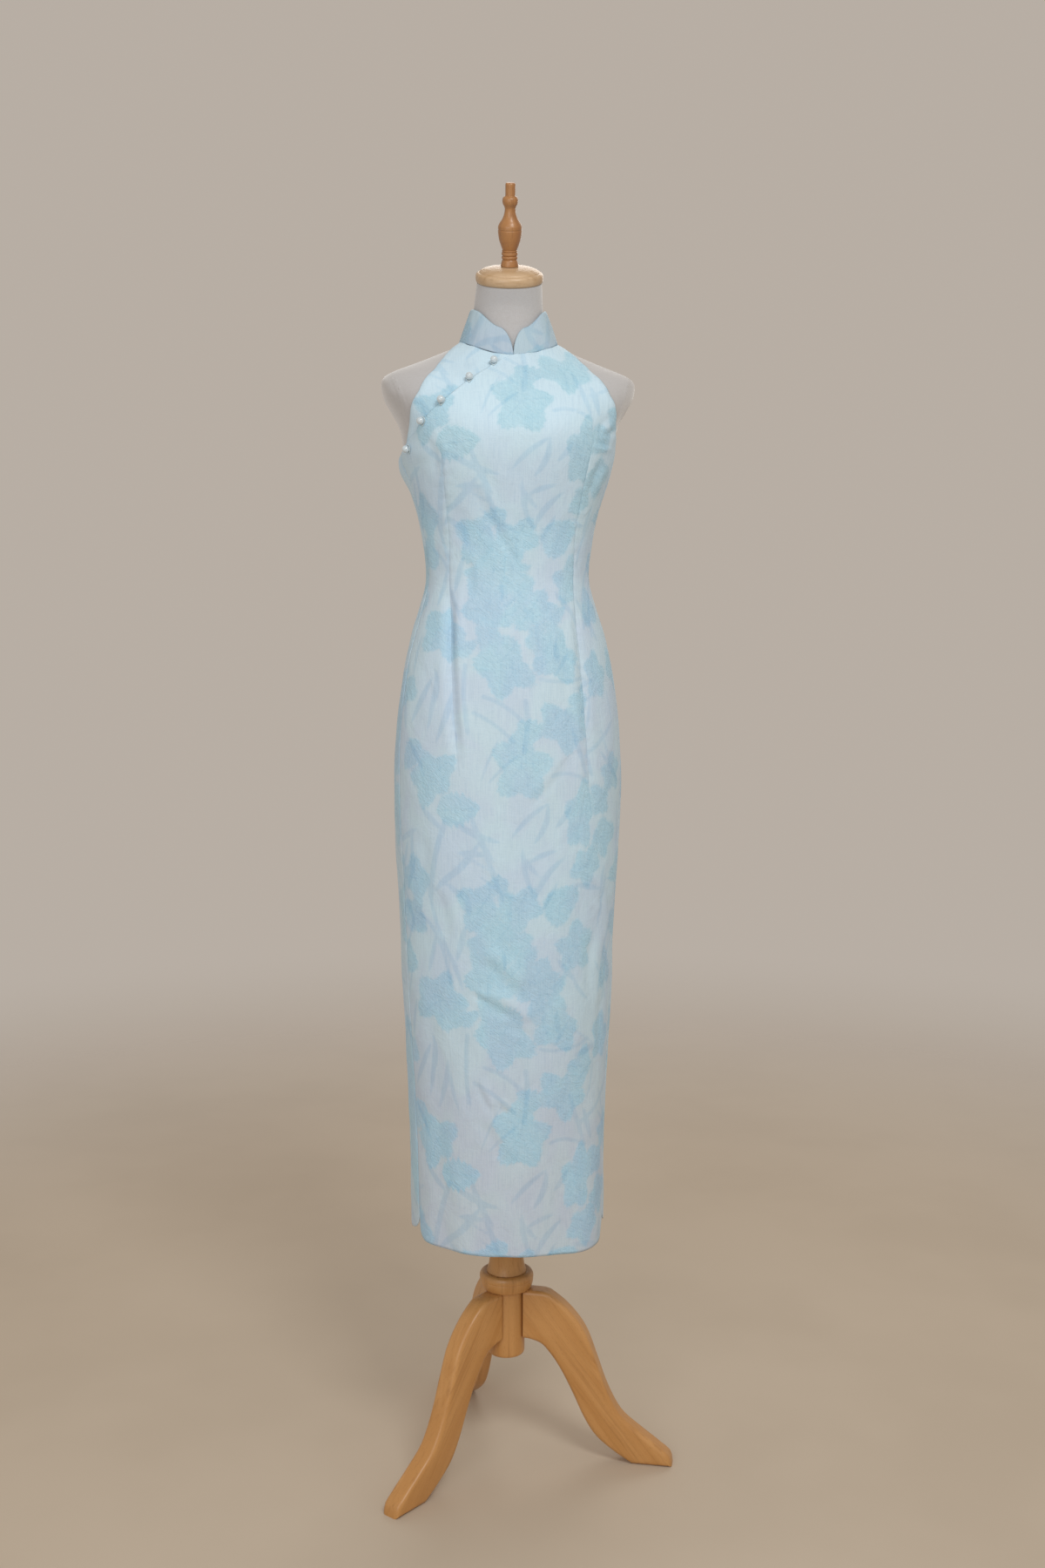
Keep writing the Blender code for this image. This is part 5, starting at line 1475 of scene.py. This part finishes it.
SHANK_RADIUS = 0.0013
PEARL_FLATNESS = 0.985
PEARL_STEPS = 24
PEARL_HANG = 0.0004
pearl_profile = [(0.0, -BUTTON_RADIUS * PEARL_FLATNESS, 0)]
for step in range(1, PEARL_STEPS):
    angle = math.pi * (step / PEARL_STEPS) - math.pi / 2
    pearl_profile.append((BUTTON_RADIUS * math.cos(angle),
                          BUTTON_RADIUS * math.sin(angle) * PEARL_FLATNESS, 0))
pearl_profile.append((0.0, BUTTON_RADIUS * PEARL_FLATNESS, 0))
shank_profile = ((0.0, -BUTTON_RADIUS, 0), (SHANK_RADIUS * 1.6, -BUTTON_RADIUS, 0.0002),
                 (SHANK_RADIUS * 1.2, -BUTTON_RADIUS * 0.93, 0.0003),
                 (SHANK_RADIUS, -BUTTON_RADIUS * 0.88, 0), (0.0, -BUTTON_RADIUS * 0.88, 0))

pearl, tree, shader = blank_material("pearl", 0.16, Coat_Weight=0.6, Coat_Roughness=0.08,
                                     Specular_IOR_Level=0.6, Sheen_Weight=0.35)
place = add_node(tree, "ShaderNodeTexCoord").outputs["Object"]
cloudy = stretched_noise(tree, place, (260, 260, 260), 3.0, 0.5, 0.6)
body = mixed(tree, spread_out(tree, cloudy, 0.35, 0.65), (0.59, 0.69, 0.75, 1),
             (0.54, 0.64, 0.71, 1))
tree.links.new(body, shader.inputs["Base Color"])

for number, spot in enumerate(BUTTONS, 1):
    seat = button_seat(*spot) @ Matrix.Translation((0, -PEARL_HANG, LAP_LIFT + BUTTON_RADIUS))
    bm = bmesh.new()
    for profile in (pearl_profile, shank_profile):
        bm.from_mesh(turned_mesh(eased(profile), seat, 36))
    finish(f"pearl_{number}", mesh_from(bm, "pearl"), pearl, [f"button_{number}"],
           sharp=50)

# ------------------------------------------------------------------ studio
# A plain pale floor that fades into the studio's even background, a soft main light from
# above and the wearer's left, and a weak one from the other side.

FLOOR_RADIUS = 9.0
FLOOR_FADE = (0.9, 3.6)
STUDIO_TONE = (0.478, 0.424, 0.372)

bm = bmesh.new()
bmesh.ops.create_circle(bm, cap_ends=True, segments=96, radius=FLOOR_RADIUS)
floor = show("floor", mesh_from(bm, "floor"))
floor_paint, tree, shader = blank_material("floor_paint", 0.75)
place = add_node(tree, "ShaderNodeTexCoord").outputs["Object"]
mottle = stretched_noise(tree, place, (2.2, 2.2, 1), 3.0)
tone = mixed(tree, spread_out(tree, mottle, 0.35, 0.7), (0.56, 0.480, 0.385, 1),
             (0.53, 0.452, 0.360, 1))
tree.links.new(tone, shader.inputs["Base Color"])
distance = add_node(tree, "ShaderNodeVectorMath", {0: place}, operation="LENGTH").outputs["Value"]
tree.links.new(spread_out(tree, distance, FLOOR_FADE[1], FLOOR_FADE[0]), shader.inputs["Alpha"])
floor.data.materials.append(floor_paint)

world = bpy.data.worlds.new("studio")
world.use_nodes = True
world.node_tree.nodes["Background"].inputs["Color"].default_value = (*STUDIO_TONE, 1)
bpy.context.scene.world = world


def soft_light(name, place, aim, size, power, colour):
    """A square soft box that faces what it lights."""
    lamp = bpy.data.lights.new(name, "AREA")
    lamp.size = size
    lamp.energy = power
    lamp.color = colour
    facing = (Vector(aim) - Vector(place)).to_track_quat("-Z", "Y")
    show(name, lamp).matrix_world = Matrix.LocRotScale(Vector(place), facing, None)


soft_light("main", (0.55, -2.2, 3.0), (0.0, 0.0, 1.2), 0.9, 31.5, (1.0, 1.0, 0.97))
soft_light("fill", (-1.1, -2.3, 1.6), (0.0, 0.0, 1.2), 1.4, 15, (0.98, 0.985, 1.0))
soft_light("rear", (0.6, 2.0, 2.6), (0.0, 0.0, 1.1), 1.4, 14, (1.0, 0.97, 0.93))

CAMERA_LENS = 38.0
CAMERA_PLACE = (0.0212, -2.308, 1.22)        # from the pole, seen square to the camera
CAMERA_TURN = math.radians(-7)               # the dress is turned this much to the camera
CAMERA_PITCH = math.radians(90 - 6)
CAMERA_ROLL = math.radians(0.15)

lens = bpy.data.cameras.new("camera")
lens.lens = CAMERA_LENS
camera = show("camera", lens)
swing = Matrix.Rotation(CAMERA_TURN, 4, "Z")
camera.matrix_world = (Matrix.Translation(STAND_AXIS) @ swing @ Matrix.Translation(CAMERA_PLACE)
                       @ Matrix.Rotation(CAMERA_PITCH, 4, "X")
                       @ Matrix.Rotation(CAMERA_ROLL, 4, "Z"))
bpy.context.scene.camera = camera
bpy.context.scene.view_settings.view_transform = "Standard"
